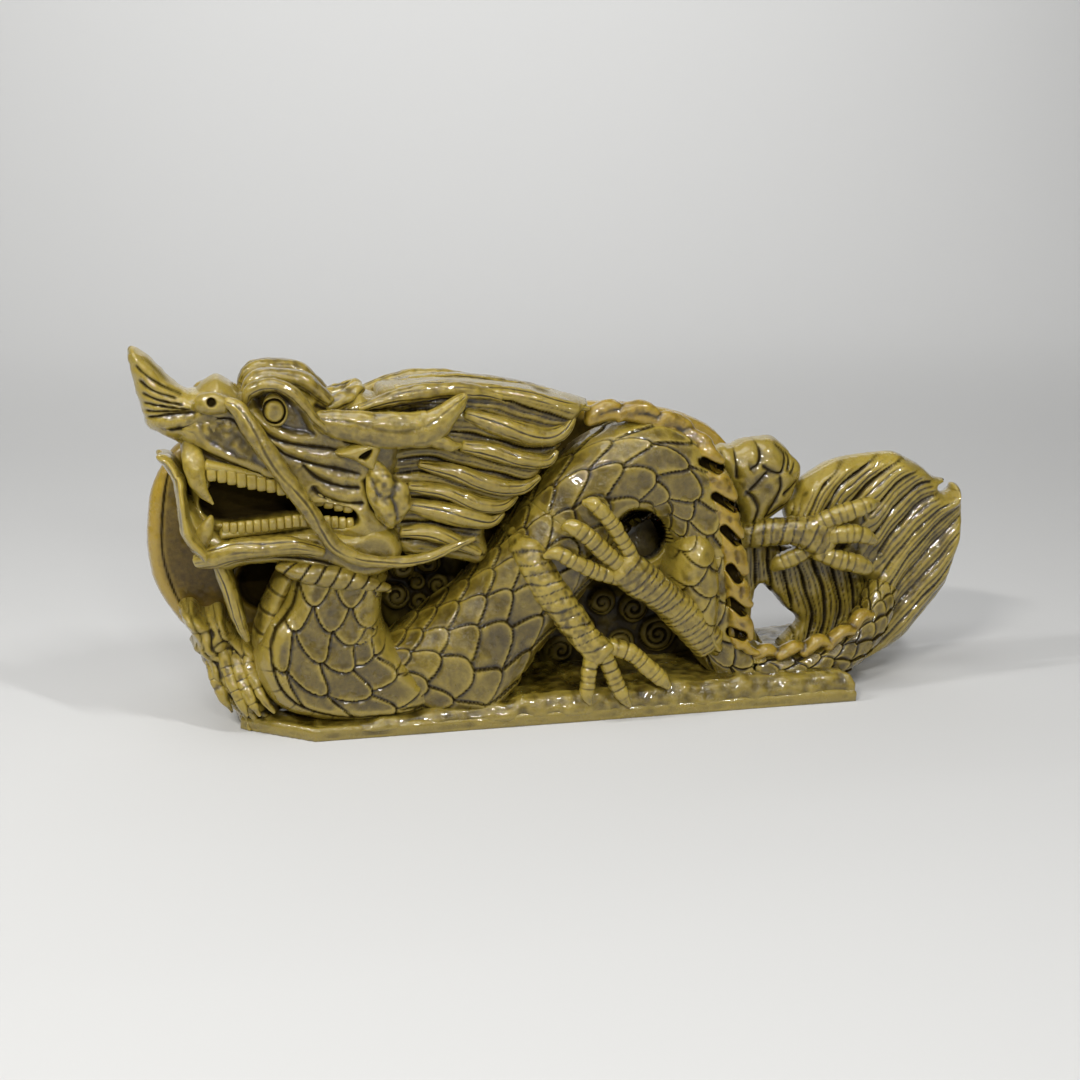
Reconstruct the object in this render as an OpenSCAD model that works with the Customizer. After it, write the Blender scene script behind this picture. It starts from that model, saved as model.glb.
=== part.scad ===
// Carved jade dragon on a rock plinth, in front of a domed back shell.
// Millimetres. X runs from the snout to the tail, Y from the front to the back, Z up.
// The origin is the centre of the plinth's flat underside.

/* [Figure] */
// Length from the snout tip to the tail tip
figure_length = 283; // [200:1:400]
// Sides of each ring of the body
body_sides = 16; // [10:2:20]
// Sides of each ring of legs, toes, horns and locks
limb_sides = 8; // [6:2:12]
// Rings between two stations of a body path
body_steps = 3; // [2:1:4]

/* [Plinth] */
// Height of the flat slab under the rock
plinth_height = 4; // [3:0.5:6]
// Depth of the plinth from front to back
plinth_depth = 58; // [56:1:66]
// Length of the plinth
plinth_length = 206; // [196:1:212]
// Width of the cut corners at the left end
plinth_corner = 24; // [16:1:28]
// Height of the rock above the table
rock_height = 10; // [8:0.5:11]
// How far the rock's top edge stands in from the slab's edge
rock_slope = 8; // [5:1:12]

/* [Back shell] */
// Wall of the shell at its rim
shell_wall = 8; // [6:0.5:10]
// How far the back of the shell domes out
shell_dome = 7; // [4:0.5:8]

/* [Teeth] */
// Teeth on each side of the upper jaw
upper_tooth_count = 11; // [8:1:12]
// Teeth on each side of the lower jaw
lower_tooth_count = 12; // [8:1:13]

/* [Fins] */
// Fins along the arch of the back
arch_fin_count = 12; // [6:1:12]
// Fins along the top of the tail
tail_fin_count = 5; // [2:1:5]

/* [Hidden] */
design_length = 283;
k = figure_length / design_length;
jade = "#6f6326";
jade_light = "#8a7a34";
jade_amber = "#8a5f1c";

// ---- Stations: [x, y, z, half-width in the XZ plane, half-depth in Y] ----

// Body, from the throat to the tail tuft. It is cut into nodes at whole stations.
NECK = [
    [-60, -6, 70, 15, 13], [-66, -8, 54, 19, 15.5], [-70, -9, 39, 23, 17],
    [-71, -9, 26, 23.5, 17], [-64, -9, 14, 18, 14],
];
SPINE = [
    [-62, -9, 14, 11, 14], [-50, -9, 15, 13.5, 15], [-38, -9, 19, 16, 16],
    [-26, -9, 26, 17, 16], [-14, -9, 36, 17, 16], [-3, -9, 48, 17, 16],
    [7, -8, 61, 17, 15.5], [14, -8, 70, 17, 15], [24, -8, 77, 17, 15],
    [35, -8, 79, 16.5, 14.5], [45, -8, 74, 15.5, 14], [51, -8, 64, 14, 13.5],
    [54, -9, 50, 12.5, 13], [55, -10, 38, 11.5, 12], [57, -11, 27, 10.5, 11],
    [61, -12, 17, 9.5, 10], [69, -13, 10, 8.2, 9], [80, -14, 8, 7.2, 8],
    [92, -14, 9, 6.8, 7.5], [104, -13, 13.5, 6.4, 7], [114, -10, 22, 6, 6.5],
    [120, -6, 33, 4.5, 5],
];
// Stations along the spine where the fins stand
ARCH_FINS = [8, 8.6, 9.1, 9.6, 10.1, 10.6, 11.1, 11.6, 12.2, 12.9, 13.7, 14.5];
TAIL_FINS = [16.4, 17.2, 18, 18.8, 19.5];
FIN_OUTLINE = [
    [-4.6, -1.5], [-4.2, 2], [-2, 4.8], [1, 6.4], [4, 6.6], [5.6, 5], [5, 3.6], [3.4, 3.6], [2.8, 1.6], [4.2, -1.5],
];
fin_thickness = 6;
fin_behind = 1.5;
CHEST_END = 6;
ARCH_END = 12;
RUMP_END = 16;
TAIL_END = 21;

// Head
SKULL = [
    [-119, -8, 102, 6.5, 7], [-110, -8, 101, 11, 11], [-101, -8, 97, 12.5, 13],
    [-90, -8, 97, 15.5, 15.5], [-78, -8, 92, 15, 16.5], [-66, -8, 88, 16, 17.5],
    [-54, -8, 86, 16.5, 17.5], [-43, -8, 85, 14, 15], [-36, -8, 84, 9, 10],
];
SNOUT = [
    [-114, -8, 99, 9, 8], [-119, -8, 103, 8.5, 8.5], [-124, -8, 110, 6, 7],
    [-127, -8, 116, 3.4, 5], [-129, -8, 122.5, 0.9, 1.5],
];
JAW = [
    [-111, -8, 60, 4.5, 9], [-102, -8, 62.5, 6, 12.5], [-90, -8, 64, 7, 14],
    [-77, -8, 63, 8, 15], [-65, -8, 63.5, 9, 16], [-54, -8, 68, 12, 16],
    [-46, -8, 76, 10, 14],
];
CHIN = [
    [-108, -8, 62, 5, 10], [-113, -9, 68, 4, 9], [-116, -10, 75, 3.2, 7],
    [-120, -9, 81, 2.6, 5], [-124.5, -8, 86, 0.8, 1.2],
];
BROW = [
    [-97, -19, 105, 1.5, 2], [-92, -20, 110, 3, 3], [-85, -20, 111, 3.2, 3],
    [-78, -22, 108, 3, 3], [-71, -22, 101, 2.2, 2.5], [-64, -22, 95, 1, 1.5],
];
CREST = [
    [-76, -8, 105, 4, 5], [-68, -8, 105, 4.5, 5], [-63, -8, 108.5, 2.6, 4],
    [-61, -8, 110.5, 0.9, 1.5],
];
HORN = [
    [-71, -20, 103, 3.5, 3.5], [-60, -22, 100.5, 5, 4.5], [-48, -23, 97.5, 5.2, 4.5],
    [-38, -23, 98.5, 4.5, 4], [-32, -22, 104, 3, 3], [-29, -21, 107.5, 1.4, 1.6],
];
HORN_TINE = [
    [-46, -22, 95.5, 3.5, 3.5], [-37, -23, 94, 3.2, 3.2], [-30, -23, 92.5, 2.2, 2.4],
    [-27, -22, 92, 1, 1.2],
];
EAR = [
    [-71, -23, 90, 1.2, 1.6], [-65, -25, 92, 3.6, 3], [-59, -26, 91, 4.6, 3],
    [-56, -25, 93.5, 1.4, 1.6],
];
CHEEK = [
    [-60, -21, 86, 3, 3.5], [-56, -22, 82, 5.5, 5], [-52, -22, 76, 6.5, 5.5],
    [-51, -20, 70, 3.5, 4],
];
WHISKER = [
    [-106, -20, 108, 1.6, 1.8], [-99, -23, 104, 2.1, 2.1], [-92, -26, 94, 2.3, 2.3],
    [-83, -28, 80, 2.3, 2.3], [-75, -28, 68.5, 2.3, 2.3], [-67, -27, 61, 2.3, 2.3],
    [-56, -26, 57, 2.3, 2.3], [-44, -25, 56.5, 2, 2], [-33, -24, 59, 1, 1.2],
];
BEARD = [
    [-103, -15, 58, 3.5, 5], [-100, -17, 48, 3.2, 4], [-98.5, -18, 38, 2.4, 3],
    [-97.5, -18, 29, 0.9, 1.2],
];
NOSTRIL = [
    [-107, -16, 110, 2.4, 3.5], [-104, -18.5, 107, 3.4, 3.6], [-100, -18, 104, 2, 3],
];
// Jaw lines that the teeth stand on, as [x, y, z]
UPPER_GUM = [[-107, -17, 86.5], [-97, -20, 83.5], [-84, -22, 79.5], [-72, -22.5, 76], [-62, -22, 72.5]];
LOWER_GUM = [[-107, -16.5, 66], [-97, -19.5, 68], [-84, -21.5, 70], [-72, -22, 70.5], [-62, -21.5, 70]];
HEAD_PLANE = -8;

// Mane: one row per lock, near side
LOCKS = [
    [[-42, -15, 105.5, 2.5, 4], [-24, -16, 105.5, 3.2, 5], [-4, -16, 102.8, 3.4, 5], [16, -15, 100.5, 2.4, 4]],
    [[-28, -17, 97, 2.6, 4], [-14, -18, 96.2, 3.4, 4.5], [1, -18, 93.5, 3.3, 4.5], [12, -16, 93.5, 1.8, 3]],
    [[-30, -18, 90, 2.6, 4], [-16, -20, 88.8, 3.3, 4.5], [0, -19, 86, 3.3, 4.5], [8, -17, 86.5, 1.8, 3]],
    [[-48, -21, 85.5, 2.2, 4], [-32, -22, 82.8, 3.2, 4.5], [-14, -21, 81, 3.4, 4.5], [0, -19, 79, 1.8, 3]],
    [[-48, -22, 79.5, 2.4, 4], [-32, -22, 75.8, 3.1, 4.5], [-17, -21, 73.3, 3.3, 4.5], [-6, -19, 71.5, 1.8, 3]],
    [[-46, -22, 72.5, 2.6, 4], [-32, -22, 68.8, 3.2, 4.5], [-20, -21, 65.8, 3.2, 4.5], [-11, -19, 64, 1.8, 3]],
    [[-48, -21, 65.5, 2.6, 4], [-38, -22, 62, 3, 4.5], [-29, -21, 58.2, 3, 4.5], [-21, -19, 53.5, 1.6, 3]],
];
MANE_OUTLINE = [
    [-50, 103], [-30, 106], [-6, 104], [17, 100], [6, 86], [-4, 73], [-12, 63], [-20, 52], [-34, 58], [-50, 60],
];

// Legs, paws and claws
FORELEG = [
    [-5, -19, 57, 6, 5], [0, -23, 47, 6.8, 6], [7, -25, 35, 5.6, 5.5],
    [13, -26, 25, 5, 5], [17, -27, 19, 5.4, 5],
];
FORE_TOES = [
    [[14, -27.5, 19, 2.6, 2.8], [12.3, -28, 14, 2.6, 2.6], [12, -28, 10.5, 2.4, 2.4], [12.2, -28, 5, 0.6, 0.6]],
    [[19.5, -28, 17, 2.6, 2.6], [22.5, -28, 12, 2.6, 2.6], [25, -28.5, 8.5, 2.2, 2.2], [27.5, -29, 4, 0.6, 0.6]],
    [[22, -27, 22.5, 2.6, 2.6], [28, -27, 18.5, 2.6, 2.6], [34, -27, 14, 2.4, 2.4], [40, -27, 9.5, 0.8, 0.8]],
];
HIND_THIGH = [
    [47, -18, 56, 4, 5], [48, -20, 48, 8.5, 8], [50, -21, 38, 10, 9],
    [53, -20, 28, 8, 8], [57, -18, 20, 4.5, 5],
];
HIND_SHANK = [
    [55, -20, 24, 6.5, 6], [47, -22, 27, 6, 6], [39, -24, 33.5, 5.6, 5.6],
    [30, -25, 41, 5.3, 5], [23, -26, 47, 5.8, 5],
];
HIND_TOES = [
    [[23.5, -26.5, 51.5, 2.7, 2.8], [19, -27.5, 59, 2.6, 2.8], [14, -28, 67, 2.5, 2.8], [8.5, -27, 73, 0.9, 1.2]],
    [[18, -27, 50, 2.7, 2.8], [13, -28, 54.5, 2.7, 2.8], [7, -28.5, 60.5, 2.6, 2.8], [0.5, -26.5, 66, 0.9, 1.2]],
    [[18, -26, 43.5, 2.7, 2.8], [10, -27, 46.5, 2.6, 2.8], [1, -27.5, 51, 2.4, 2.6], [-6.5, -25.5, 55.5, 0.8, 1]],
];
FAR_THIGH = [
    [74, 6, 79, 7, 6], [80, 6, 72, 13, 9], [83, 5, 63, 12, 9], [81, 2, 55, 6, 6],
];
FAR_SHANK = [
    [74, -2, 53, 5, 5], [83, -4, 53, 5.6, 5.5], [92, -5, 52.5, 5.8, 5.5], [100, -6, 51, 7, 5.5],
];
FAR_TOES = [
    [[102, -6, 57.3, 2.6, 3], [108, -8, 59.3, 2.7, 2.8], [113.5, -8.5, 60, 2.5, 2.6], [118.5, -8, 62.5, 0.8, 1]],
    [[104, -7, 51.5, 2.6, 3], [109, -8.5, 51.3, 2.7, 2.8], [114.5, -9, 50.5, 2.5, 2.6], [119.5, -8, 48.5, 0.8, 1]],
    [[102.5, -6, 45.5, 2.6, 3], [108, -8, 43.2, 2.7, 2.8], [113.5, -8.5, 41.3, 2.5, 2.6], [118, -8, 38.5, 0.8, 1]],
    [[87.5, -2, 42.5, 1, 1.5], [91, -3, 43, 2.8, 3], [95.5, -4, 44, 2.6, 3]],
];
LEFT_PAW = [
    [[-109, 1, 34, 3, 3.5], [-107.5, -6, 29, 3.2, 3.4], [-106, -12, 22, 3, 3.2], [-105, -15, 14, 2.4, 2.6], [-104, -16, 10, 0.8, 0.8]],
    [[-101, -3, 35, 3, 3.5], [-99.5, -9, 30, 3.2, 3.4], [-98, -15, 22, 3, 3.2], [-97.5, -19, 15, 2.4, 2.6], [-97, -20, 10.5, 0.8, 0.8]],
    [[-115, 6, 33, 2.4, 3.2], [-113.5, 0, 27, 2.6, 3.2], [-111.5, -5, 21, 2.5, 2.8], [-110, -8, 15, 2.1, 2.3], [-109, -9, 12, 0.8, 0.8]],
];

// Tail tuft, as [x, z] outline points, and the hair inside the tail's loop
FAN_OUTLINE = [
    [95, 60], [98, 69], [104, 74], [114, 77], [124, 77], [133, 74], [140, 68], [146, 66], [151, 63],
    [151, 52], [150, 42], [146, 29], [139, 16], [129, 8], [120, 5], [117, 12], [114, 24], [104, 36],
];
HAIR = [
    [[93, 5, 46, 3, 4], [94, 5, 34, 3.4, 4], [99, 4, 22, 3, 4], [106, 2, 16, 2, 3]],
    [[99, 4, 46, 3, 4], [100, 4, 36, 3.4, 4], [104, 3, 26, 3, 4], [110, 1, 19, 2, 3]],
    [[105, 3, 46, 3, 4], [106, 3, 37, 3.2, 4], [110, 2, 28, 3, 4], [115, 0, 23, 2, 3]],
];

// Back shell and what is carved on it
SHELL_OUTLINE = [
    [-108, 92], [-113, 78], [-115, 60], [-113, 42], [-107, 26], [-98, 14], [-84, 9], [-20, 9],
    [40, 9], [66, 12], [72, 24], [73, 50], [72, 70], [68, 79], [60, 86], [46, 92], [25, 95], [-20, 97], [-60, 99], [-92, 100],
];
LEAF_OUTLINE = [
    [-113, 88], [-120, 86], [-125, 76], [-127, 62], [-126, 49], [-122, 38], [-115, 31], [-106, 30], [-100, 44],
    [-98, 62], [-104, 78],
];
SHELL_FRONT = 14;
CLOUDS = [[-42, 44, 9], [-31, 38, 7], [-44, 33, 6], [18, 40, 8], [31, 33, 9], [43, 22, 8], [34, 55, 8], [-92, 47, 9], [2, 16, 7]];
WAVES = [
    [[-98, -1, 10, 4.5, 4.2], [-106, -1, 12, 4.5, 4], [-111, -1, 17, 3, 3.4], [-116, -1, 22, 0.9, 1.2]],
    [[-94, 8.5, 11, 6, 4.6], [-104, 8.5, 15, 6, 4.6], [-111, 8, 22, 4, 4], [-118, 8, 29, 1, 1.5]],
    [[-88, -11, 10, 4.5, 4.4], [-96, -11, 11, 4.5, 4.2], [-102, -11, 13, 3, 3.5], [-107, -11, 18, 0.9, 1.2]],
    [[-78, -23.5, 8, 2, 3], [-84, -22.5, 9, 4.2, 4.4], [-92, -21, 10, 4, 4.2], [-98, -20.5, 12.5, 0.9, 1.2]],
];

// ---- Paths ----

// Row i of a list, held at its ends
function row(p, i) = p[max(0, min(len(p) - 1, i))];

// Catmull-Rom point between b and c, with neighbours a and d
function between(a, b, c, d, t) =
    0.5 * (2 * b + (c - a) * t + (2 * a - 5 * b + 4 * c - d) * t * t + (3 * b - a - 3 * c + d) * t * t * t);

// A list of rows drawn out to n steps between each two
function smooth(p, n) = [
    for (i = [0 : len(p) - 2], j = [0 : n - 1]) between(row(p, i - 1), p[i], p[i + 1], row(p, i + 2), j / n),
    p[len(p) - 1],
];

// A closed outline drawn out the same way
function closed(p, n) = [
    for (i = [0 : len(p) - 1], j = [0 : n - 1])
        between(p[(i + len(p) - 1) % len(p)], p[i], p[(i + 1) % len(p)], p[(i + 2) % len(p)], j / n),
];
function part_of(p, first, last) = [for (i = [first : last]) p[i]];
function xyz(r) = [r[0], r[1], r[2]];
function unit(v) = v / norm(v);
function heading(p, i) = unit(xyz(row(p, i + 1)) - xyz(row(p, i - 1)));

// Side of the path that is on the right of its heading, seen from the front
function side(t) = unit(cross([0, 1, 0], t));

// Ring of n points round row r, heading along t
function ring(r, t, n, grow = 1, shift = 0) = [
    for (i = [0 : n - 1]) let (a = 360 * (i + 0.5) / n)
        k * (xyz(r) + shift * t + grow * (r[3] * cos(a) * side(t) + r[4] * sin(a) * cross(t, side(t)))),
];

// Closed skin over rings that all have n points
module skin(rings, n) {
    last = len(rings) - 1;
    polyhedron(
        points = [for (r = rings, p = r) p],
        faces = concat(
            [[for (i = [0 : n - 1]) n - 1 - i]],
            [[for (i = [0 : n - 1]) last * n + i]],
            [for (j = [0 : last - 1], i = [0 : n - 1]) [j * n + i, j * n + (i + 1) % n, (j + 1) * n + i]],
            [for (j = [0 : last - 1], i = [0 : n - 1])
                [j * n + (i + 1) % n, (j + 1) * n + (i + 1) % n, (j + 1) * n + i]]
        )
    );
}

// Rounded limb along a path; each end is domed by its share of the end's half-width
module limb(stations, n = limb_sides, steps = 2, dome = [0.5, 0.5]) {
    p = smooth(stations, steps);
    last = len(p) - 1;
    tilt = [60, 30];
    skin(concat(
        dome[0] > 0 ? [for (a = tilt) ring(p[0], heading(p, 0), n, cos(a), -dome[0] * p[0][3] * sin(a))] : [],
        [for (i = [0 : last]) ring(p[i], heading(p, i), n)],
        dome[1] > 0 ? [for (a = [30, 60])
            ring(p[last], heading(p, last), n, cos(a), dome[1] * p[last][3] * sin(a))] : []
    ), n);
}

// A stretch of the body between two stations, flat where it meets the next stretch
module body(first, last) {
    p = smooth(SPINE, body_steps);
    skin([for (i = [first * body_steps : last * body_steps]) ring(p[i], heading(p, i), body_sides)], body_sides);
}

// The same row on the far side of the head
function far_side(p) = [for (r = p) [r[0], 2 * HEAD_PLANE - r[1], r[2], r[3], r[4]]];

// Upright plate with an [x, z] outline, from y_front to y_back
module plate(outline, y_front, y_back) {
    translate([0, k * y_back, 0]) rotate([90, 0, 0])
        linear_extrude(k * (y_back - y_front)) polygon(k * outline);
}

// ---- Ground ----

module plinth_shape(inset) {
    x = plinth_length / 2 - inset;
    y = plinth_depth / 2 - inset;
    c = plinth_corner - inset / 2;
    polygon(k * [
        [-x + c, -y], [x, -y], [x, y], [-x + c, y], [-x + 2, y - 1.2 * c], [-x + 2, -y + 1.2 * c],
    ]);
}

module plinth() {
    color(jade) linear_extrude(k * plinth_height) plinth_shape(0);
}

module rock() {
    color(jade) hull() {
        translate([0, 0, k * plinth_height]) linear_extrude(k * 0.5) plinth_shape(1);
        translate([0, 0, k * (rock_height - 0.5)]) linear_extrude(k * 0.5) plinth_shape(rock_slope);
    }
}

module shore_waves() {
    color(jade_light) for (w = WAVES) limb(w);
}

// ---- Back shell ----

// Rings of the shell's outline: straight wall at the front, then in over the dome
module back_shell() {
    outline = closed(SHELL_OUTLINE, 2);
    middle = [-26, 50];
    n = len(outline);
    steps = [[0, 0], [shell_wall * 0.7, 0], [shell_wall, 0.05], [shell_wall + shell_dome * 0.5, 0.25],
        [shell_wall + shell_dome * 0.85, 0.5], [shell_wall + shell_dome, 0.8]];
    color(jade_amber) skin([
        for (s = steps) [for (p = outline) let (q = p + s[1] * (middle - p)) k * [q[0], SHELL_FRONT + s[0], q[1]]],
    ], n);
}

module side_leaf() {
    color(jade_amber) plate(closed(LEAF_OUTLINE, 2), 4, SHELL_FRONT);
}

module cloud_scrolls() {
    color(jade) for (c = CLOUDS)
        translate(k * [c[0], SHELL_FRONT, c[1]]) rotate([90, 0, 0]) cylinder(h = k * 3, r = k * c[2], $fn = 24);
}

// ---- Body ----

module neck_coil() {
    color(jade) limb(NECK, body_sides, body_steps, [0.2, 0.6]);
}

module chest() {
    color(jade) body(0, CHEST_END);
}

module back_arch() {
    color(jade) body(CHEST_END, ARCH_END);
}

module rump() {
    color(jade) body(ARCH_END, RUMP_END);
}

module tail() {
    color(jade) body(RUMP_END, TAIL_END);
}

// Strip of belly plates along the outside of the neck
module belly_band() {
    color(jade_light) limb([
        for (r = part_of(NECK, 1, 4)) [r[0] - r[3], r[1] - 3, r[2], 4, 9],
    ], limb_sides, 3, [0.4, 0.4]);
}

// One hooked fin, standing on the back side of row i of path p
module fin(p, i, size) {
    t = heading(p, i);
    up = -side(t);
    out = cross(t, up);
    foot = k * (xyz(p[i]) + 0.93 * p[i][3] * up - fin_behind * size * out);
    multmatrix([for (a = [0 : 2]) [t[a], up[a], out[a], foot[a]]])
        linear_extrude(k * fin_thickness * size) polygon(k * size * FIN_OUTLINE);
}

module fins(stations, count, size_first, size_last) {
    p = smooth(SPINE, 10);
    for (j = [0 : count - 1])
        fin(p, round(10 * stations[j]), size_first + (size_last - size_first) * j / len(stations));
}

module arch_fins() {
    color(jade_amber) fins(ARCH_FINS, arch_fin_count, 0.95, 0.72);
}

module tail_fins() {
    color(jade_amber) fins(TAIL_FINS, tail_fin_count, 0.6, 0.55);
}

// ---- Head ----

module pair(stations, n = limb_sides) {
    limb(stations, n);
    limb(far_side(stations), n);
}

module skull() {
    color(jade) limb(SKULL, body_sides, 2);
}

module snout_tip() {
    color(jade_light) limb(SNOUT, 12, 2);
}

module lower_jaw() {
    color(jade) limb(JAW, 12, 2);
}

module chin_flame() {
    color(jade_light) limb(CHIN, 10, 2);
}

module nostrils() {
    color(jade) pair(NOSTRIL);
}

module eyes() {
    color(jade_light) for (y = [-20.5, 2 * HEAD_PLANE + 20.5])
        translate(k * [-88, y, 104]) scale([1, 0.7, 1]) sphere(r = k * 4.5, $fn = 12);
}

module brow_ridges() {
    color(jade) pair(BROW);
}

module crown_crest() {
    color(jade_light) limb(CREST);
}

module cheek_tufts() {
    color(jade) pair(CHEEK);
}

module ears() {
    color(jade_light) pair(EAR);
}

module horns() {
    color(jade_light) pair(HORN);
}

module horn_tines() {
    color(jade_light) pair(HORN_TINE);
}

module whiskers() {
    color(jade_light) pair(WHISKER);
}

module beard() {
    color(jade_light) limb(BEARD);
}

// Row of teeth along a gum line; drop is +1 for up and -1 for down
module tooth_row(gum, count, drop, size) {
    p = smooth(gum, 6);
    for (j = [0 : count - 1]) {
        q = p[round((len(p) - 1) * (j + 0.5) / count)];
        for (y = [q[1], 2 * HEAD_PLANE - q[1]])
            translate(k * [q[0] - size / 2, y - 1.2, q[2] + (drop > 0 ? 0 : -4)])
                cube(k * [size, 2.4, 4]);
    }
}

module upper_teeth() {
    color(jade_light) tooth_row(UPPER_GUM, upper_tooth_count, -1, 3.2);
}

module lower_teeth() {
    color(jade_light) tooth_row(LOWER_GUM, lower_tooth_count, 1, 2.9);
}

module fang(root, tip, r) {
    limb([
        [root[0], root[1], root[2], r, r],
        (0.5 * [root[0] + tip[0] - r, root[1] + tip[1], root[2] + tip[2], 1.5 * r, 1.5 * r]),
        [tip[0], tip[1], tip[2], 0.4, 0.4],
    ], 8, 3);
}

module fangs() {
    color(jade_light) for (s = [-1, 1]) {
        fang([-110, HEAD_PLANE + s * 10, 89], [-105.5, HEAD_PLANE + s * 12, 75.5], 2.8);
        fang([-109, HEAD_PLANE + s * 9.5, 64], [-107, HEAD_PLANE + s * 10.5, 72.5], 2.4);
    }
}

// ---- Mane ----

module mane_core() {
    color(jade) plate(MANE_OUTLINE, -16, 6);
}

module mane_locks() {
    color(jade_light) for (l = LOCKS) pair(l);
}

// ---- Legs ----

module toes(list) {
    for (t = list) limb(t, limb_sides, 2);
}

module foreleg() {
    color(jade_light) limb(FORELEG, 10, 2);
}

module fore_paw() {
    color(jade_light) toes(FORE_TOES);
}

module hind_thigh() {
    color(jade) limb(HIND_THIGH, 12, 2);
}

module hind_shank() {
    color(jade_light) limb(HIND_SHANK, 10, 2);
}

module hind_paw() {
    color(jade_light) toes(HIND_TOES);
}

module far_thigh() {
    color(jade) limb(FAR_THIGH, 12, 2);
}

module far_shank() {
    color(jade_light) limb(FAR_SHANK, 10, 2);
}

module far_hind_paw() {
    color(jade_light) toes(FAR_TOES);
}

module far_fore_paw() {
    color(jade_light) toes(LEFT_PAW);
}

// ---- Tail tuft ----

module tail_fan() {
    color(jade_light) plate(closed(FAN_OUTLINE, 2), -3, 9);
}

module tail_hair() {
    color(jade) for (h = HAIR) limb(h);
}

plinth();
rock();
back_shell();
side_leaf();
cloud_scrolls();
shore_waves();
neck_coil();
chest();
back_arch();
rump();
tail();
belly_band();
arch_fins();
tail_fins();
skull();
snout_tip();
nostrils();
eyes();
brow_ridges();
crown_crest();
cheek_tufts();
ears();
horns();
horn_tines();
lower_jaw();
chin_flame();
upper_teeth();
lower_teeth();
fangs();
whiskers();
beard();
mane_core();
mane_locks();
foreleg();
fore_paw();
hind_thigh();
hind_shank();
hind_paw();
far_thigh();
far_shank();
far_hind_paw();
far_fore_paw();
tail_fan();
tail_hair();
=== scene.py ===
"""Looks of the carved jade dragon, built over the CAD frame.

Lengths below are millimetres, turned into metres when a piece is made.
"""

import math

import bpy
import numpy as np
from mathutils import Matrix, Vector


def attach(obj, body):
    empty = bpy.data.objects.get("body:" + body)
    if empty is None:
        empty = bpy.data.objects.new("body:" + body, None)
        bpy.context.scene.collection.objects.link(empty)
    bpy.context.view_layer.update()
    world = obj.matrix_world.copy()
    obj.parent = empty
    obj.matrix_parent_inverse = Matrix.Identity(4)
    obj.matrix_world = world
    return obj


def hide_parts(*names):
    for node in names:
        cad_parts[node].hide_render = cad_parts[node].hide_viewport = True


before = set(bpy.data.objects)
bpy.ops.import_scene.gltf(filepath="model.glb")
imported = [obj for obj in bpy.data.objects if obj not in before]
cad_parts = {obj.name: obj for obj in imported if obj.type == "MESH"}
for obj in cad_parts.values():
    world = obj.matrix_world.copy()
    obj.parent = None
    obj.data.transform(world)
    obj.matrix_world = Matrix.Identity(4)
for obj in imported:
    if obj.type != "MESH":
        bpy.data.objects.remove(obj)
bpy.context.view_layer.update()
MM = 0.001
ABOVE_GROUND = 0.3  # only the plinth touches the ground

# ---------------------------------------------------------------- the camera, as the figure is seen

AZIMUTH, ELEVATION, DISTANCE = math.radians(-12), math.radians(15), 600.0
TARGET = np.array((0.0, 0.0, 54.5))
BACK = np.array(
    (math.sin(AZIMUTH) * math.cos(ELEVATION), -math.cos(AZIMUTH) * math.cos(ELEVATION), math.sin(ELEVATION))
)
RIGHT = np.array((math.cos(AZIMUTH), math.sin(AZIMUTH), 0.0))
UP = np.cross(BACK, RIGHT)
EYE = TARGET + DISTANCE * BACK


def add_camera():
    data = bpy.data.cameras.new("camera")
    data.lens, data.sensor_width = 60, 36
    cam = bpy.data.objects.new("camera", data)
    bpy.context.scene.collection.objects.link(cam)
    cam.location = EYE * MM
    turn = Matrix([[RIGHT[i], UP[i], BACK[i]] for i in range(3)])
    cam.rotation_euler = turn.to_euler()
    bpy.context.scene.camera = cam


def front_view(p):
    """Points in the plane that the carver draws on: right and up from the target, in mm."""
    q = p - EYE
    depth = -(q @ BACK)
    return np.stack([q @ RIGHT, q @ UP], 1) * (DISTANCE / depth)[:, None]


# ---------------------------------------------------------------- noise

LATTICE = np.random.default_rng(11).random((32, 32, 32, 3)) * 2 - 1


def noise(p, size, layer=0):
    """Smooth noise from -1 to 1 at each point, with features of that size in mm."""
    q = p / size + 17.3
    i = np.floor(q).astype(int)
    f = q - i
    f = f * f * (3 - 2 * f)
    out = 0
    for corner in np.ndindex(2, 2, 2):
        j = (i + corner) % 32
        w = np.prod(np.where(corner, f, 1 - f), axis=1)
        out = out + w * LATTICE[j[:, 0], j[:, 1], j[:, 2], layer]
    return out


def step(a, b, x):
    """0 up to a, 1 from b on, smooth between."""
    t = np.clip((x - a) / (b - a), 0, 1)
    return t * t * (3 - 2 * t)


def bump(x, width):
    """1 at zero, falling off on both sides."""
    return np.exp(-((x / width) ** 2))


def wave(x):
    """1 at whole numbers and 0 halfway between them."""
    return np.abs((x % 1) - 0.5) * 2


# ---------------------------------------------------------------- paths

def rows_of(width):
    """Takes a plain list of numbers as rows of that many."""
    return lambda *numbers: [list(numbers[k : k + width]) for k in range(0, len(numbers), width)]


xy = rows_of(2)  # points: [right, up] in the front view, or [x, z]
path = rows_of(5)  # stations: [right, up, y, half-width, half-depth], or [x, y, z, half-width, half-depth]


def catmull_rom(a, b, c, d, count):
    """Points from b towards c, on the smooth line through all four."""
    t = np.linspace(0, 1, count, endpoint=False)[:, None]
    return 0.5 * (2 * b + (c - a) * t + (2 * a - 5 * b + 4 * c - d) * t**2 + (3 * b - a - 3 * c + d) * t**3)


def lengths(p):
    """How far along the line each of its points is."""
    return np.concatenate([[0], np.cumsum(np.linalg.norm(np.diff(p, axis=0), axis=1))])


def resampled(p, length, want):
    return np.stack([np.interp(want, length, column) for column in p.T], 1)


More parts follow.
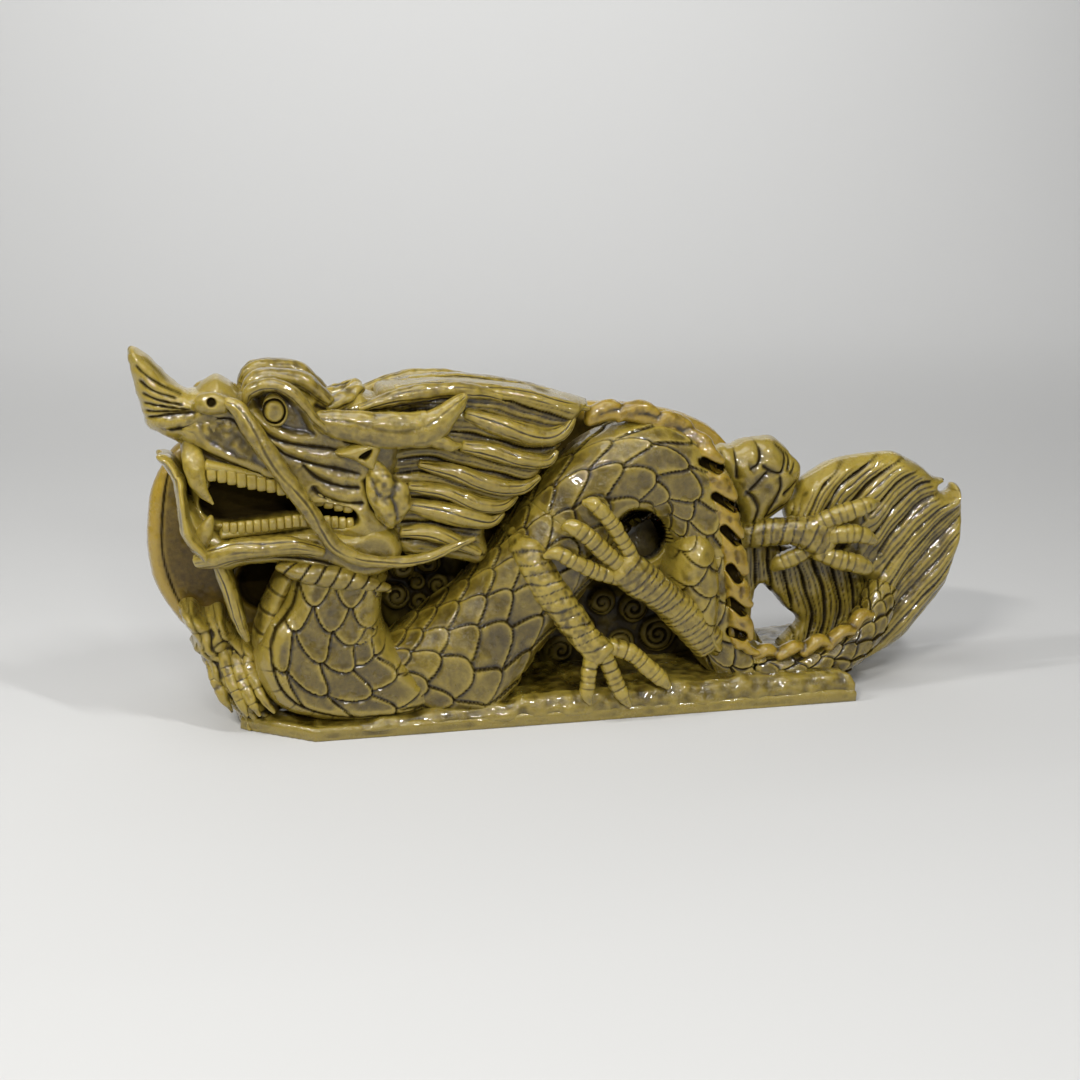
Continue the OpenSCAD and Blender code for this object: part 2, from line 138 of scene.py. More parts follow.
def curve(stations, spacing=1.0):
    """A smooth line through the stations at an even spacing, and the length along it."""
    p = np.asarray(stations, float)
    q = np.vstack([p[:1], p, p[-1:]])
    fine = np.vstack([*(catmull_rom(*q[i : i + 4], 40) for i in range(len(p) - 1)), p[-1:]])
    length = lengths(fine[:, :3])
    want = np.linspace(0, length[-1], max(3, int(round(length[-1] / spacing)) + 1))
    return resampled(fine, length, want), want


def headings(c):
    """The direction of a path at each of its points."""
    t = np.gradient(c[:, :3], axis=0)
    return t / np.linalg.norm(t, axis=1)[:, None]


def sides(t):
    """Level directions across those headings."""
    s = np.cross(np.array((0.0, 1.0, 0.0)), t)
    return s / np.maximum(np.linalg.norm(s, axis=1), 1e-6)[:, None]


# ---------------------------------------------------------------- skins

class Skin:
    """A closed mesh in mm: points, four-sided and three-sided faces."""

    def __init__(self, v, quads, tris=None):
        self.v = np.asarray(v, float)
        self.quads = np.asarray(quads, int)
        self.tris = np.zeros((0, 3), int) if tris is None else np.asarray(tris, int)
        self.wax_and_shade = np.zeros(len(self.v))
        self._pairs = None

    def joined(self, *others):
        skins = [self, *others]
        first = np.cumsum([0, *(len(s.v) for s in skins)])
        quads = np.vstack([s.quads + n for s, n in zip(skins, first)])
        tris = np.vstack([s.tris + n for s, n in zip(skins, first)])
        out = Skin(np.vstack([s.v for s in skins]), quads, tris)
        out.wax_and_shade = np.concatenate([s.wax_and_shade for s in skins])
        return out

    def darken(self, amount):
        """Dark wax left in the cuts, and painted shade in bores and recesses, 0 to 1."""
        self.wax_and_shade = np.maximum(self.wax_and_shade, amount)
        return self

    def normals(self):
        v, n = self.v, np.zeros_like(self.v)
        for f, (a, b, c, d) in ((self.quads, (0, 2, 1, 3)), (self.tris, (0, 1, 0, 2))):
            across = np.cross(v[f[:, b]] - v[f[:, a]], v[f[:, d]] - v[f[:, c]])
            for corner in f.T:
                for axis in range(3):
                    n[:, axis] += np.bincount(corner, across[:, axis], len(v))
        return n / np.maximum(np.linalg.norm(n, axis=1), 1e-12)[:, None]

    def pairs(self):
        """Both ways along every face's edges: from a point, to its neighbour."""
        if self._pairs is None:
            e = np.vstack([f[:, [k - 1, k]] for f in (self.quads, self.tris) for k in range(f.shape[1])])
            self._pairs = np.vstack([e, e[:, ::-1]])
        return self._pairs

    def mean_of_neighbours(self, value):
        e = self.pairs()
        n = len(self.v)
        count = np.maximum(np.bincount(e[:, 0], minlength=n), 1)
        if value.ndim == 1:
            return np.bincount(e[:, 0], value[e[:, 1]], n) / count
        return np.stack([np.bincount(e[:, 0], value[e[:, 1], c], n) / count for c in range(3)], 1)

    def relax(self, times, amount=0.5):
        for _ in range(times):
            self.v += amount * (self.mean_of_neighbours(self.v) - self.v)
        return self

    def push(self, height):
        """Moves each point out along its normal."""
        self.v += self.normals() * np.asarray(height)[:, None]
        return self

    def mirrored(self, y=-8.0):
        m = self.v.copy()
        m[:, 1] = 2 * y - m[:, 1]
        out = Skin(m, self.quads[:, ::-1], self.tris[:, ::-1])
        out.wax_and_shade = self.wax_and_shade.copy()
        return out

    def seen(self):
        """How much each point faces the front view, 0 to 1."""
        to_eye = EYE - self.v
        to_eye /= np.linalg.norm(to_eye, axis=1)[:, None]
        return step(0.05, 0.3, (self.normals() * to_eye).sum(1))

    def hollows(self):
        """Curvature at each point, positive in grooves and negative on ridges."""
        n = self.normals()
        e = self.pairs()
        gap = self.v[e[:, 1]] - self.v[e[:, 0]]
        dist = np.maximum((gap**2).sum(1), 1e-4)
        c = np.bincount(e[:, 0], (gap * n[e[:, 0]]).sum(1) / dist, len(self.v))
        c /= np.maximum(np.bincount(e[:, 0], minlength=len(self.v)), 1)
        for _ in range(2):
            c = 0.5 * c + 0.5 * self.mean_of_neighbours(c)
        # the broad part: how far each point lies below its smoothed surroundings, which darkens wide hollows with
        # painted shade
        even = self.v
        for _ in range(14):
            even = self.mean_of_neighbours(even)
        return c + 0.9 * ((even - self.v) * n).sum(1)


def squared(a, power):
    """Cosine and sine of a ring that is fuller in its corners."""
    c, s = np.cos(a), np.sin(a)
    return np.sign(c) * np.abs(c) ** power, np.sign(s) * np.abs(s) ** power


def loft(rings):
    """Closed skin over rings of the same number of points, each [n, 3]."""
    v = np.asarray(rings, float)
    m, n = v.shape[:2]
    i = np.arange((m - 1) * n).reshape(m - 1, n)
    quads = np.stack([i, np.roll(i, -1, 1), np.roll(i, -1, 1) + n, i + n], -1)
    ring = np.arange(n)
    first, last = np.full(n, m * n), np.full(n, m * n + 1)
    tris = np.vstack(
        [
            np.stack([first, np.roll(ring, -1), ring], 1),
            np.stack([last, ring + (m - 1) * n, np.roll(ring, -1) + (m - 1) * n], 1),
        ]
    )
    return Skin(np.vstack([v.reshape(-1, 3), v[0].mean(0), v[-1].mean(0)]), quads.reshape(-1, 4), tris)


def swept(centre, rx, ry, t, w, length, around, power):
    """Rings round a path. Returns the skin with the length, angle and half-width at each of its points."""
    a = np.linspace(0, 2 * math.pi, around, endpoint=False)
    ca, sa = squared(a, power)
    wide = rx[:, None, None] * ca[None, :, None] * w[:, None]
    skin = loft(centre[:, None] + wide + ry[:, None, None] * sa[None, :, None] * np.cross(t, w)[:, None])

    def spread(x):
        return np.concatenate([np.repeat(x, around), [x[0], x[-1]]])

    return skin, spread(length), np.concatenate([np.tile(a, len(t)), [0, 0]]), spread(rx)


def together(skins):
    return skins[0].joined(*skins[1:])


def both(skin):
    """The near side and its mirror image on the far side."""
    return skin.joined(skin.mirrored())


def tube(stations, spacing=0.6, around=None, ends=(0.5, 0.5), power=1.0):
    """A swept skin with domed ends, over stations of [x, y, z, half-width, half-depth]."""
    c, length = curve(stations, spacing)
    t = headings(c)
    w = sides(t)
    parts = [(c[:, :3], c[:, 3], c[:, 4], t, w, length)]
    for end, amount, sign in ((0, ends[0], -1), (-1, ends[1], 1)):
        reach = amount * c[end, 3]
        a = np.linspace(0, math.pi / 2, max(3, int(reach / spacing) + 2) + 1)[1:] * 0.985
        a = a[::sign]
        out = sign * reach * np.sin(a)
        flat = [np.repeat(x[[end]], len(a), 0) for x in (t, w)]
        middle = c[end, :3] + out[:, None] * t[end]
        cap = (middle, c[end, 3] * np.cos(a), c[end, 4] * np.cos(a), *flat, length[end] + out)
        parts = [cap, *parts] if end == 0 else [*parts, cap]
    if around is None:
        around = max(12, int(2 * math.pi * c[:, 3:5].max() / spacing))
    return swept(*(np.concatenate([part[k] for part in parts]) for k in range(6)), around, power)


def remeshed(skin, voxel=0.5, relax=2):
    """One skin over everything in the given one, with even small faces."""
    mesh = bpy.data.meshes.new("blank")
    fill_mesh(mesh, skin, 1.0)
    o = bpy.data.objects.new("blank", mesh)
    bpy.context.scene.collection.objects.link(o)
    m = o.modifiers.new("blank", "REMESH")
    m.mode, m.voxel_size = "VOXEL", voxel
    e = o.evaluated_get(bpy.context.evaluated_depsgraph_get())
    got = e.to_mesh()
    v = np.zeros(len(got.vertices) * 3, np.float32)
    got.vertices.foreach_get("co", v)
    f = np.zeros(len(got.loops), np.int32)
    got.loops.foreach_get("vertex_index", f)
    sizes = np.zeros(len(got.polygons), np.int32)
    got.polygons.foreach_get("loop_total", sizes)
    starts = np.concatenate([[0], np.cumsum(sizes)[:-1]])
    quads, tris = (np.stack([f[starts[sizes == n] + k] for k in range(n)], 1) for n in (4, 3))
    e.to_mesh_clear()
    bpy.data.objects.remove(o)
    bpy.data.meshes.remove(mesh)
    return Skin(v.reshape(-1, 3), quads, tris).relax(relax)


def fill_mesh(mesh, skin, scale):
    v = (skin.v * scale).astype(np.float32)
    loops = np.concatenate([skin.quads.ravel(), skin.tris.ravel()]).astype(np.int32)
    sizes = np.repeat([4, 3], [len(skin.quads), len(skin.tris)]).astype(np.int32)
    mesh.vertices.add(len(v))
    mesh.vertices.foreach_set("co", v.ravel())
    mesh.loops.add(len(loops))
    mesh.loops.foreach_set("vertex_index", loops)
    mesh.polygons.add(len(sizes))
    mesh.polygons.foreach_set("loop_start", np.concatenate([[0], np.cumsum(sizes)[:-1]]).astype(np.int32))
    mesh.update(calc_edges=True)
    mesh.polygons.foreach_set("use_smooth", np.ones(len(sizes), bool))


def piece(name, skin, *nodes, slot="jade_body"):
    """A finished piece. Its mesh carries how hollow each point is, which places the painted shade and painted
    highlight, and how much wax and painted shade it holds, for the stone.
    """
    mesh = bpy.data.meshes.new(name)
    skin.v[:, 2] = np.maximum(skin.v[:, 2], 0.0 if name == "plinth" else ABOVE_GROUND)
    fill_mesh(mesh, skin, MM)
    for label, value in (("hollow", np.clip(skin.hollows(), -1.5, 1.5)), ("wax_and_shade", np.clip(skin.wax_and_shade, 0, 1))):
        mesh.attributes.new(label, "FLOAT", "POINT").data.foreach_set("value", value.astype(np.float32))
    mesh.materials.append(JADE[slot])
    o = bpy.data.objects.new(name, mesh)
    bpy.context.scene.collection.objects.link(o)
    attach(o, "root")
    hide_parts(*(nodes or (name,)))
    return o


# ---------------------------------------------------------------- drawing from the front

def on(y, line):
    """Rows that start with [right, up] in the front view, put on the upright plane at that y: [x, z, ...]."""
    rows = np.atleast_2d(np.asarray(line, float))
    ray = (TARGET - EYE) + rows[:, :1] * RIGHT + rows[:, 1:2] * UP
    p = EYE + ray * ((y - EYE[1]) / ray[:, 1])[:, None]
    return np.column_stack([p[:, 0], p[:, 2], rows[:, 2:]])


def strand(rows):
    """Stations of a path drawn as [right, up, y, half-width, half-depth] in the front view."""
    return [[x, y, z, r, d] for h, w, y, r, d in rows for x, z in on(y, [[h, w]])]


def dense(line, gap=0.5):
    return curve([[*p] for p in line], gap)[0]


def nearest(q, line):
    """Distance of 2-D points from a dense line, how far along it, and their side (1 on the left of its heading)."""
    dist, along, side = np.empty((3, len(q)))
    ahead = np.gradient(line, axis=0)
    length = lengths(line)
    for k in range(0, len(q), 8000):
        p = q[k : k + 8000]
        d2 = ((p[:, None] - line[None]) ** 2).sum(2)
        j = np.argmin(d2, 1)
        off, t = p - line[j], ahead[j]
        t = t / np.linalg.norm(t, axis=1)[:, None]
        dist[k : k + 8000] = np.sqrt(d2[np.arange(len(p)), j])
        along[k : k + 8000] = length[j] + np.clip((off * t).sum(1), -1, 1)
        side[k : k + 8000] = np.sign(t[:, 0] * off[:, 1] - t[:, 1] * off[:, 0])
    return dist, along, side


def near_line(q, line, reach=5.0):
    """The distance and the way along, only worked out close to the line; elsewhere the distance is 99."""
    box = ((q > line.min(0) - reach) & (q < line.max(0) + reach)).all(1)
    dist, along = np.full(len(q), 99.0), np.zeros(len(q))
    if box.any():
        dist[box], along[box] = nearest(q[box], line)[:2]
    return dist, along


def cuts(q, y, lines, *widths, taper=2.0):
    """How deep each point is in any of the cuts drawn on the plane at y, 0 to 1, once for each width."""
    out = np.zeros((len(widths), len(q)))
    for line in lines:
        c = dense(on(y, line))
        dist, along = near_line(q, c)
        ends = step(0, taper, along) * step(0, taper, 0.5 * len(c) - along)
        for k, width in enumerate(widths):
            out[k] = np.maximum(out[k], bump(dist, width) * ends)
    return out


def to_outline(q, outline):
    """Distance inside a closed outline, negative outside, and the nearest point on it."""
    dist, near, odd = np.full(len(q), 1e9), np.zeros_like(q), np.zeros(len(q), bool)
    for a, b in zip(outline, np.roll(outline, -1, 0)):
        e = b - a
        t = np.clip(((q - a) @ e) / max(e @ e, 1e-9), 0, 1)
        c = a + t[:, None] * e
        d = np.hypot(q[:, 0] - c[:, 0], q[:, 1] - c[:, 1])
        less = d < dist
        dist[less], near[less] = d[less], c[less]
        crosses = (a[1] > q[:, 1]) != (b[1] > q[:, 1])
        if e[1]:
            odd ^= crosses & (q[:, 0] < a[0] + (q[:, 1] - a[1]) * e[0] / e[1])
    return np.where(odd, dist, -dist), near


def within(q, y, shape, edge):
    """1 inside an outline drawn on the plane at y, 0 outside, with a soft edge of that width."""
    return step(0, edge, to_outline(q, ringed(on(y, shape)))[0])


def ringed(outline, spacing=1.0):
    """A closed outline drawn out smoothly."""
    p = np.asarray(outline, float)[:, :2]
    n = len(p)
    loop = np.vstack([*(catmull_rom(p[i - 1], p[i], p[(i + 1) % n], p[(i + 2) % n], 12) for i in range(n)), p[:1]])
    length = lengths(loop)
    want = np.linspace(0, length[-1], max(8, int(length[-1] / spacing)), endpoint=False)
    return resampled(loop, length, want)


def dome(d, reach, height):
    """A rounded edge: the height at distance d inside it."""
    return height * np.sqrt(1 - (1 - np.clip(d / reach, 0, 1)) ** 2)


def relief(outline, plane, front, back=None, cell=0.5):
    """A closed carved plate with an [x, z] outline.

    front(q, d) and back(q, d) give how far each side stands off the plane, and how dark it is made: wax in its cuts
    and painted shade in its recesses.
    """
    o = ringed(outline)
    lo, hi = o.min(0) - cell, o.max(0) + cell
    xs, zs = (np.arange(lo[k], hi[k] + cell, cell) for k in (0, 1))
    q = np.stack(np.meshgrid(xs, zs, indexing="ij"), -1).reshape(-1, 2)
    d, near = to_outline(q, o)
    m, n = len(xs), len(zs)
    ok = (d > -0.3 * cell).reshape(m, n)
    cells = ok[:-1, :-1] & ok[1:, :-1] & ok[:-1, 1:] & ok[1:, 1:]
    count = np.zeros((m, n), int)
    for a, b in np.ndindex(2, 2):
        count[a : a + m - 1, b : b + n - 1] += cells
    count = count.ravel()
    rim = (count > 0) & (count < 4)
    q[rim] = near[rim]
    d = np.where(rim, 0, np.maximum(d, 0))
    used = np.flatnonzero(count > 0)
    inner = np.flatnonzero(count == 4)
    number = np.full(m * n, -1)
    number[used] = np.arange(len(used))
    other = number.copy()
    other[inner] = len(used) + np.arange(len(inner))
    hf, wf = front(q[used], d[used])
    hb, wb = (back or front)(q[inner], d[inner])
    v = upright(q[np.concatenate([used, inner])])
    v[:, 1] = np.concatenate([plane - np.where(rim[used], 0, hf), plane + hb])
    i, j = np.nonzero(cells)
    corner = np.stack([i * n + j, (i + 1) * n + j, (i + 1) * n + j + 1, i * n + j + 1], 1)
    skin = Skin(v, np.vstack([number[corner], other[corner][:, ::-1]]))
    skin.wax_and_shade = np.concatenate([wf, wb])
    return skin


def drilled(skin, holes):
    """Bores slots away from the front view: each is two points in that view, a radius and a depth."""
    for h0, w0, h1, w1, r, depth in holes:
        q, seen = front_view(skin.v), skin.seen()
        way = np.array((h1 - h0, w1 - w0))
        t = np.clip((q - (h0, w0)) @ way / max(way @ way, 1e-6), 0, 1)
        off = np.linalg.norm(q - (h0, w0) - t[:, None] * way, axis=1)
        inside = (1 - step(0.8 * r, 1.1 * r, off)) * (seen > 0.02)
        ray = skin.v - EYE
        ray /= np.linalg.norm(ray, axis=1)[:, None]
        skin.v += ray * (depth * inside)[:, None]
        # painted shade: the bore is darkened
        skin.darken(0.85 * inside)
    return skin


def upright(q):
    """[x, z] points as 3-D ones, for the noise."""
    return np.c_[q[:, 0], np.zeros(len(q)), q[:, 1]]


def plain(reach, height):
    """A side of a plate with nothing carved in it."""
    return lambda q, d: (dome(d, reach, height), np.zeros(len(q)))


def roughen(skin, amount=0.25, size=7.0, fine=0.11):
    """Uneven hand carving: broad facets and small tool marks."""
    h = amount * noise(skin.v, size) + 0.4 * amount * noise(skin.v, size / 2.3, 1)
    return skin.push(h + fine * noise(skin.v, 2.1, 2) + 0.3 * fine * noise(skin.v, 1.0, 0))


def family(q, guides):
    """Where each point lies among drawn lines: 0 on the first, 1 on the second, and so on.

    Each line is on the right of the one before.
    """
    found = [nearest(q, dense(g, 1.0)) for g in guides]
    dist = np.array([f[0] for f in found])
    beyond = np.array([f[2] < 0 for f in found])
    i = np.clip(beyond.sum(0), 1, len(guides) - 1)
    k = np.arange(len(q))
    a, b = dist[i - 1, k], dist[i, k]
    inside = a / np.maximum(a + b, 1e-6)
    p = i - 1 + inside
    first, last = ~beyond[0], beyond[-1]
    gap = 4.0
    p = np.where(first & (dist[0] < dist[1]), -dist[0] / gap, p)
    return np.where(last & (dist[-1] < dist[-2]), len(guides) - 1 + dist[-1] / gap, p), found[0][1]


def hair(p, along, seed=0.0, depth=1.0):
    """Strands in a family: a deep cut at each whole number and two finer ones between. Returns height and wax."""
    p = p + 0.05 * np.sin(along * 0.21 + seed) + 0.03 * np.sin(along * 0.47 + 3 * p)
    f, fine = wave(p), wave(3 * p + 0.2 * np.sin(2.1 * np.floor(p)))
    h = depth * (0.9 * np.sqrt(np.clip(1 - f**2, 0, 1)) + 0.34 * np.sqrt(np.clip(1 - fine**2, 0, 1)))
    return h, 0.95 * bump(1 - f, 0.2) + 0.32 * bump(1 - fine, 0.2) * (f < 0.8)


def spiral(q, centre, radius, pitch=2.6, turn=1.0, start=0.0):
    """A carved cloud curl: its dome and the cut that winds round it."""
    off = q - np.asarray(centre, float)
    r = np.hypot(off[:, 0], off[:, 1])
    a = np.arctan2(off[:, 1], off[:, 0]) * turn + start
    phase = np.abs(((r / pitch - a / (2 * math.pi)) % 1) - 0.5) * pitch
    inside = step(0, 0.8, radius - r)
    cut = bump(0.5 * pitch - phase, 0.42) * inside * step(0, 1.2, r)
    return dome(radius - r, 0.6 * radius, 1) * inside, cut


# ---------------------------------------------------------------- stone

PAINTED_SHADE = (0.020, 0.0125, 0.003, 1)  # painted shade that darkens hollows and creases
# the colour for the wax in the cuts and for the painted shade in bores, the mouth and other recesses
WAX_AND_SHADE_COLOUR = (0.017, 0.011, 0.0025, 1)


def setup(node, values):
    for label, value in values.items():
        node.inputs[label].default_value = value


def stone(name, dark, mid, light, warmth):
    """Polished soft jade: mottled, with a painted highlight on the ridges, painted shade in the hollows, and brown
    wax in the cuts with painted shade in bores and recesses.
    """
    m = bpy.data.materials.new(name)
    m.use_nodes = True
    t = m.node_tree
    n, l = t.nodes, t.links
    b = n["Principled BSDF"]
    place = n.new("ShaderNodeTexCoord")

    def attribute(label):
        a = n.new("ShaderNodeAttribute")
        a.attribute_name = label
        return a.outputs["Fac"]

    hollow, wax_and_shade = attribute("hollow"), attribute("wax_and_shade")

    def tex(scale, detail, rough=0.5, warp=0.0):
        x = n.new("ShaderNodeTexNoise")
        setup(x, {"Scale": scale, "Detail": detail, "Roughness": rough, "Distortion": warp})
        l.new(place.outputs["Object"], x.inputs["Vector"])
        return x.outputs["Fac"]

    def ramp(value, *stops):
        r = n.new("ShaderNodeValToRGB")
        while len(r.color_ramp.elements) < len(stops):
            r.color_ramp.elements.new(0.5)
        for e, (pos, colour) in zip(r.color_ramp.elements, stops):
            e.position = pos
            e.color = (*colour, 1)
        l.new(value, r.inputs["Fac"])
        return r.outputs["Color"]

    def mix(kind, fac, a, c):
        x = n.new("ShaderNodeMix")
        x.data_type, x.blend_type = "RGBA", kind
        for value, socket in ((fac, x.inputs[0]), (a, x.inputs[6]), (c, x.inputs[7])):
            if hasattr(value, "links"):
                l.new(value, socket)
            else:
                socket.default_value = value
        return x.outputs[2]

    def span(value, lo, hi, a, c):
        x = n.new("ShaderNodeMapRange")
        l.new(value, x.inputs[0])
        for k, v in zip((1, 2, 3, 4), (lo, hi, a, c)):
            x.inputs[k].default_value = v
        return x.outputs[0]

    broad = ramp(tex(38, 6, 0.6, 0.8), (0.32, dark), (0.5, mid), (0.68, light))
    flecks = ramp(tex(520, 4, 0.7), (0.34, (0.62, 0.6, 0.55)), (0.62, (1.22, 1.22, 1.22)))
    base = mix("MULTIPLY", 0.75, broad, flecks)
    # painted highlight: ridges are mixed towards a brighter, yellower copy of the light shade
    ridge = span(hollow, -0.03, -0.34, 0.0, 0.6)
    base = mix("MIX", ridge, base, (*[min(1, 1.7 * c) for c in light], 1))
    # painted shade: hollows and creases are mixed towards a dark brown
    hollow_shade = span(hollow, 0.02, 0.34, 0.0, 0.92)
    base = mix("MIX", hollow_shade, base, PAINTED_SHADE)
    # wax in the cuts, and painted shade in bores and recesses, mixed towards a darker brown
    darken = span(wax_and_shade, 0.1, 0.9, 0.0, 0.95)
    base = mix("MIX", darken, base, WAX_AND_SHADE_COLOUR)
    l.new(base, b.inputs["Base Color"])
    worn = n.new("ShaderNodeMath")
    worn.operation = "MAXIMUM"
    l.new(span(tex(150, 4), 0.3, 0.7, 0.2, 0.42), worn.inputs[0])
    l.new(span(wax_and_shade, 0.1, 0.8, 0.0, 0.85), worn.inputs[1])
    l.new(worn.outputs[0], b.inputs["Roughness"])
    l.new(span(wax_and_shade, 0.1, 0.8, 0.4, 0.03), b.inputs["Specular IOR Level"])
    l.new(span(wax_and_shade, 0.1, 0.7, 0.85, 0.0), b.inputs["Coat Weight"])
    setup(b, {"IOR": 1.56, "Coat IOR": 1.5, "Coat Roughness": 0.03})
    setup(b, {"Subsurface Weight": 0.14, "Subsurface Radius": warmth, "Subsurface Scale": 0.0025})
    relief_map = n.new("ShaderNodeBump")
    setup(relief_map, {"Strength": 0.65, "Distance": 0.0006})
    l.new(tex(420, 6, 0.65), relief_map.inputs["Height"])
    l.new(relief_map.outputs["Normal"], b.inputs["Normal"])
    return m


# name, dark, mid and light shade, and how far red, green and blue travel inside the stone
SHADES = [
    ("jade_body", (0.060, 0.040, 0.003), (0.120, 0.084, 0.008), (0.22, 0.163, 0.022), (1, 0.6, 0.15)),
    ("jade_ridge", (0.068, 0.046, 0.004), (0.136, 0.096, 0.009), (0.25, 0.186, 0.026), (1, 0.6, 0.15)),
    ("jade_thin", (0.092, 0.054, 0.003), (0.160, 0.100, 0.006), (0.26, 0.175, 0.018), (1, 0.5, 0.1)),
    # jade_base: a slightly darker copy of jade_body, painted shade for the plinth and rock, which the lamps above
    # light strongly
    ("jade_base", (0.060, 0.040, 0.003), (0.112, 0.079, 0.008), (0.20, 0.150, 0.024), (1, 0.6, 0.15)),
]
JADE = {name: stone(name, *shades) for name, *shades in SHADES}

# ---------------------------------------------------------------- the same stations as the CAD

NECK = path(-60,-6,70,15,13, -66,-8,54,19,15.5, -70,-9,39,23,17, -71,-9,26,23.5,17, -64,-9,14,18,14)
SPINE = path(
    -62,-9,14,11,14, -50,-9,15,13.5,15, -38,-9,19,16,16, -26,-9,26,17,16, -14,-9,36,17,16, -3,-9,48,17,16,
    7,-8,61,17,15.5, 14,-8,70,17,15, 24,-8,77,17,15, 35,-8,79,16.5,14.5, 45,-8,74,15.5,14, 51,-8,64,14,13.5,
    54,-9,50,12.5,13, 55,-10,38,11.5,12, 57,-11,27,10.5,11, 61,-12,17,9.5,10, 69,-13,10,8.2,9, 80,-14,8,7.2,8,
    92,-14,9,6.8,7.5, 104,-13,13.5,6.4,7, 114,-10,22,6,6.5, 120,-6,33,4.5,5,
)
SHELL_OUTLINE = xy(
    -108,92, -113,78, -115,60, -113,42, -107,26, -98,14, -84,9, -20,9, 40,9, 66,12, 72,24, 73,50, 74,70, 70,80.5,
    61,88.5, 47,94, 25,97.5, -20,98.5, -60,99.5, -92,100,
)
SPINE_CUTS = {"chest": (0, 6), "back_arch": (6, 12), "rump": (12, 16), "tail": (16, 21)}

# ---------------------------------------------------------------- body

def scales(rows, across, row_mm, pitch_mm, strength=1.0):
    """Overlapping scales. rows counts them along the body and across counts them round it. Returns height and wax."""
    depth_in, height = np.zeros((2, len(rows)))
    done = np.zeros(len(rows), bool)
    under = np.full(len(rows), 9.0)
    base = np.floor(rows).astype(int)
    for back in (-2, -1, 0, 1):
        r = base + back
        b = across - 0.5 * (r % 2)
        i = np.round(b)
        b = (b - i) * 2
        wobble = 0.13 * np.sin(12.9898 * r + 78.233 * i) + 0.1 * b * np.sin(4.1 * r + 9.7 * i)
        edge = r + 1.95 + wobble - 1.15 * np.abs(b) ** 2.1
        slope = 2.4 * np.abs(b) ** 1.1 * row_mm / (0.5 * pitch_mm)
        gap = (edge - rows) * row_mm / np.sqrt(1 + slope**2)
        here = (~done) & (gap >= 0)
        lift = 0.5 * np.exp(-gap / 1.4) + 0.35 * (1 - b**2) * np.exp(-gap / 5)
        height[here] = lift[here]
        depth_in[here] = gap[here]
        passed = (~done) & (gap < 0)
        under[passed] = np.minimum(under[passed], -gap[passed])
        done |= here
    cut = bump(under, 0.55)
    edge_cut = bump(np.minimum(under, depth_in), 0.27)
    return strength * (0.75 * height - 0.55 * cut), np.clip(1.1 * edge_cut, 0, 1)


def station_lengths():
    """How far along the spine each of its stations is."""
    c, s = curve(SPINE, 0.25)
    return [s[np.argmin(((c[:, :3] - q[:3]) ** 2).sum(1))] for q in np.asarray(SPINE, float)]


def body_piece(first, last):
    """The scaly body between two stations of the spine, with plates along its belly."""
    c, s = curve(SPINE, 0.5)
    station = np.interp(s, station_lengths(), np.arange(len(SPINE)))
    rows = np.flatnonzero((station >= first - 1e-6) & (station <= last + 1e-6))
    t = headings(c)
    skin, length, angle, r = swept(*(x[rows] for x in (c[:, :3], c[:, 3], c[:, 4], t, sides(t), s)), 210, 0.82)
    long, around = (0.5, 10) if first < 12 else (0.72, 7)
    all_rows = np.concatenate([[0], np.cumsum(np.diff(s) / (long * np.maximum(c[1:, 3], 3.0)))])
    count = np.interp(length, s, all_rows)
    belly = step(0.80, 0.86, np.cos(angle))
    pitch = 2 * math.pi * r / around
    h, wax_and_shade = scales(count, angle / (2 * math.pi) * around, long * r, pitch)
    plate = wave(length / np.maximum(0.34 * r, 2))
    h = h * (1 - belly) + belly * (0.3 * (1 - plate**2) - 0.5 * bump(1 - plate, 0.2))
    wax_and_shade = wax_and_shade * (1 - belly) + belly * bump(1 - plate, 0.16)
    skin.push(h).darken(wax_and_shade)
    return roughen(skin, 0.35, 9)


NECK_SHAPE = xy(
    -82.5,-10.5, -84,-17.5, -86.5,-22.5, -91.5,-27.5, -94,-33.5, -95.5,-40, -94.5,-46.5, -90.5,-54, -84.5,-58.5,
    -76,-60.5, -63.5,-61.5, -46.5,-60.5, -33.5,-58, -26,-53.5, -33.5,-46.5, -38.5,-42.5, -47.5,-35, -51.5,-27.5,
    -51.5,-18.5, -49.5,-12.5, -55,-8.5, -73.5,-7.5,
)
NECK_PATH = xy(-71.5,-6.5, -72.5,-20, -72.5,-31.5, -68.5,-40.5, -59.5,-45.5, -47.5,-45.5, -34.5,-40, -23.5,-30.5)
BAND_LINE = xy(
    -80,-11.5, -82.5,-22, -88.5,-30.5, -89.5,-38.5, -86.5,-48, -79.5,-54, -68.5,-57, -56,-57, -44,-55.5, -30.5,-51.5,
)


def neck_front(q, d):
    """The coil below the jaw: a banded throat on one side of a line and scales on the other."""
    t = np.interp(q[:, 1], [0, 20, 70], [19, 18, 14]) * (1 - 0.45 * step(-52, -30, q[:, 0]))
    h = dome(d, 7, 1) * t
    dist, along, side = nearest(q, dense(on(-22, NECK_PATH)))
    band_dist, band_along, band_side = nearest(q, dense(on(-22, BAND_LINE)))
    band = band_side <= 0
    scale_h, wax_and_shade = scales(along / 8.2 + 0.2, side * dist / 11.5 + 0.25, 8.2, 11.5, 1.1)
    plates = 1 - wave(band_along / 6.5)
    edge, fade = bump(band_dist, 0.5), step(0, 3, d)
    h = h + fade * np.where(band, -0.3 * bump(plates, 0.1) - 0.9, scale_h) - 0.7 * edge * fade
    return h, np.clip(np.where(band, 0.5 * bump(plates, 0.08), wax_and_shade) * fade + edge, 0, 1)


HOOK_HOLES = [
    [54.5, 26,59.5, 23.5,1.7,5], [58.5, 14.5,65, 10.5,1.5,5], [61.5, 3.5,65.5, -0.5,1.6,5],
    [63.5, -9.5,66, -13,1.7,5],
    [63.5, -20.5,67.5, -24,1.6,5], [63.5, -30.5,67.5, -32,1.6,5],
]
HOLES = {"back_arch": [[33, 2,33.5, 1.5,8,16]] + HOOK_HOLES, "rump": HOOK_HOLES, "arch_fins": HOOK_HOLES}


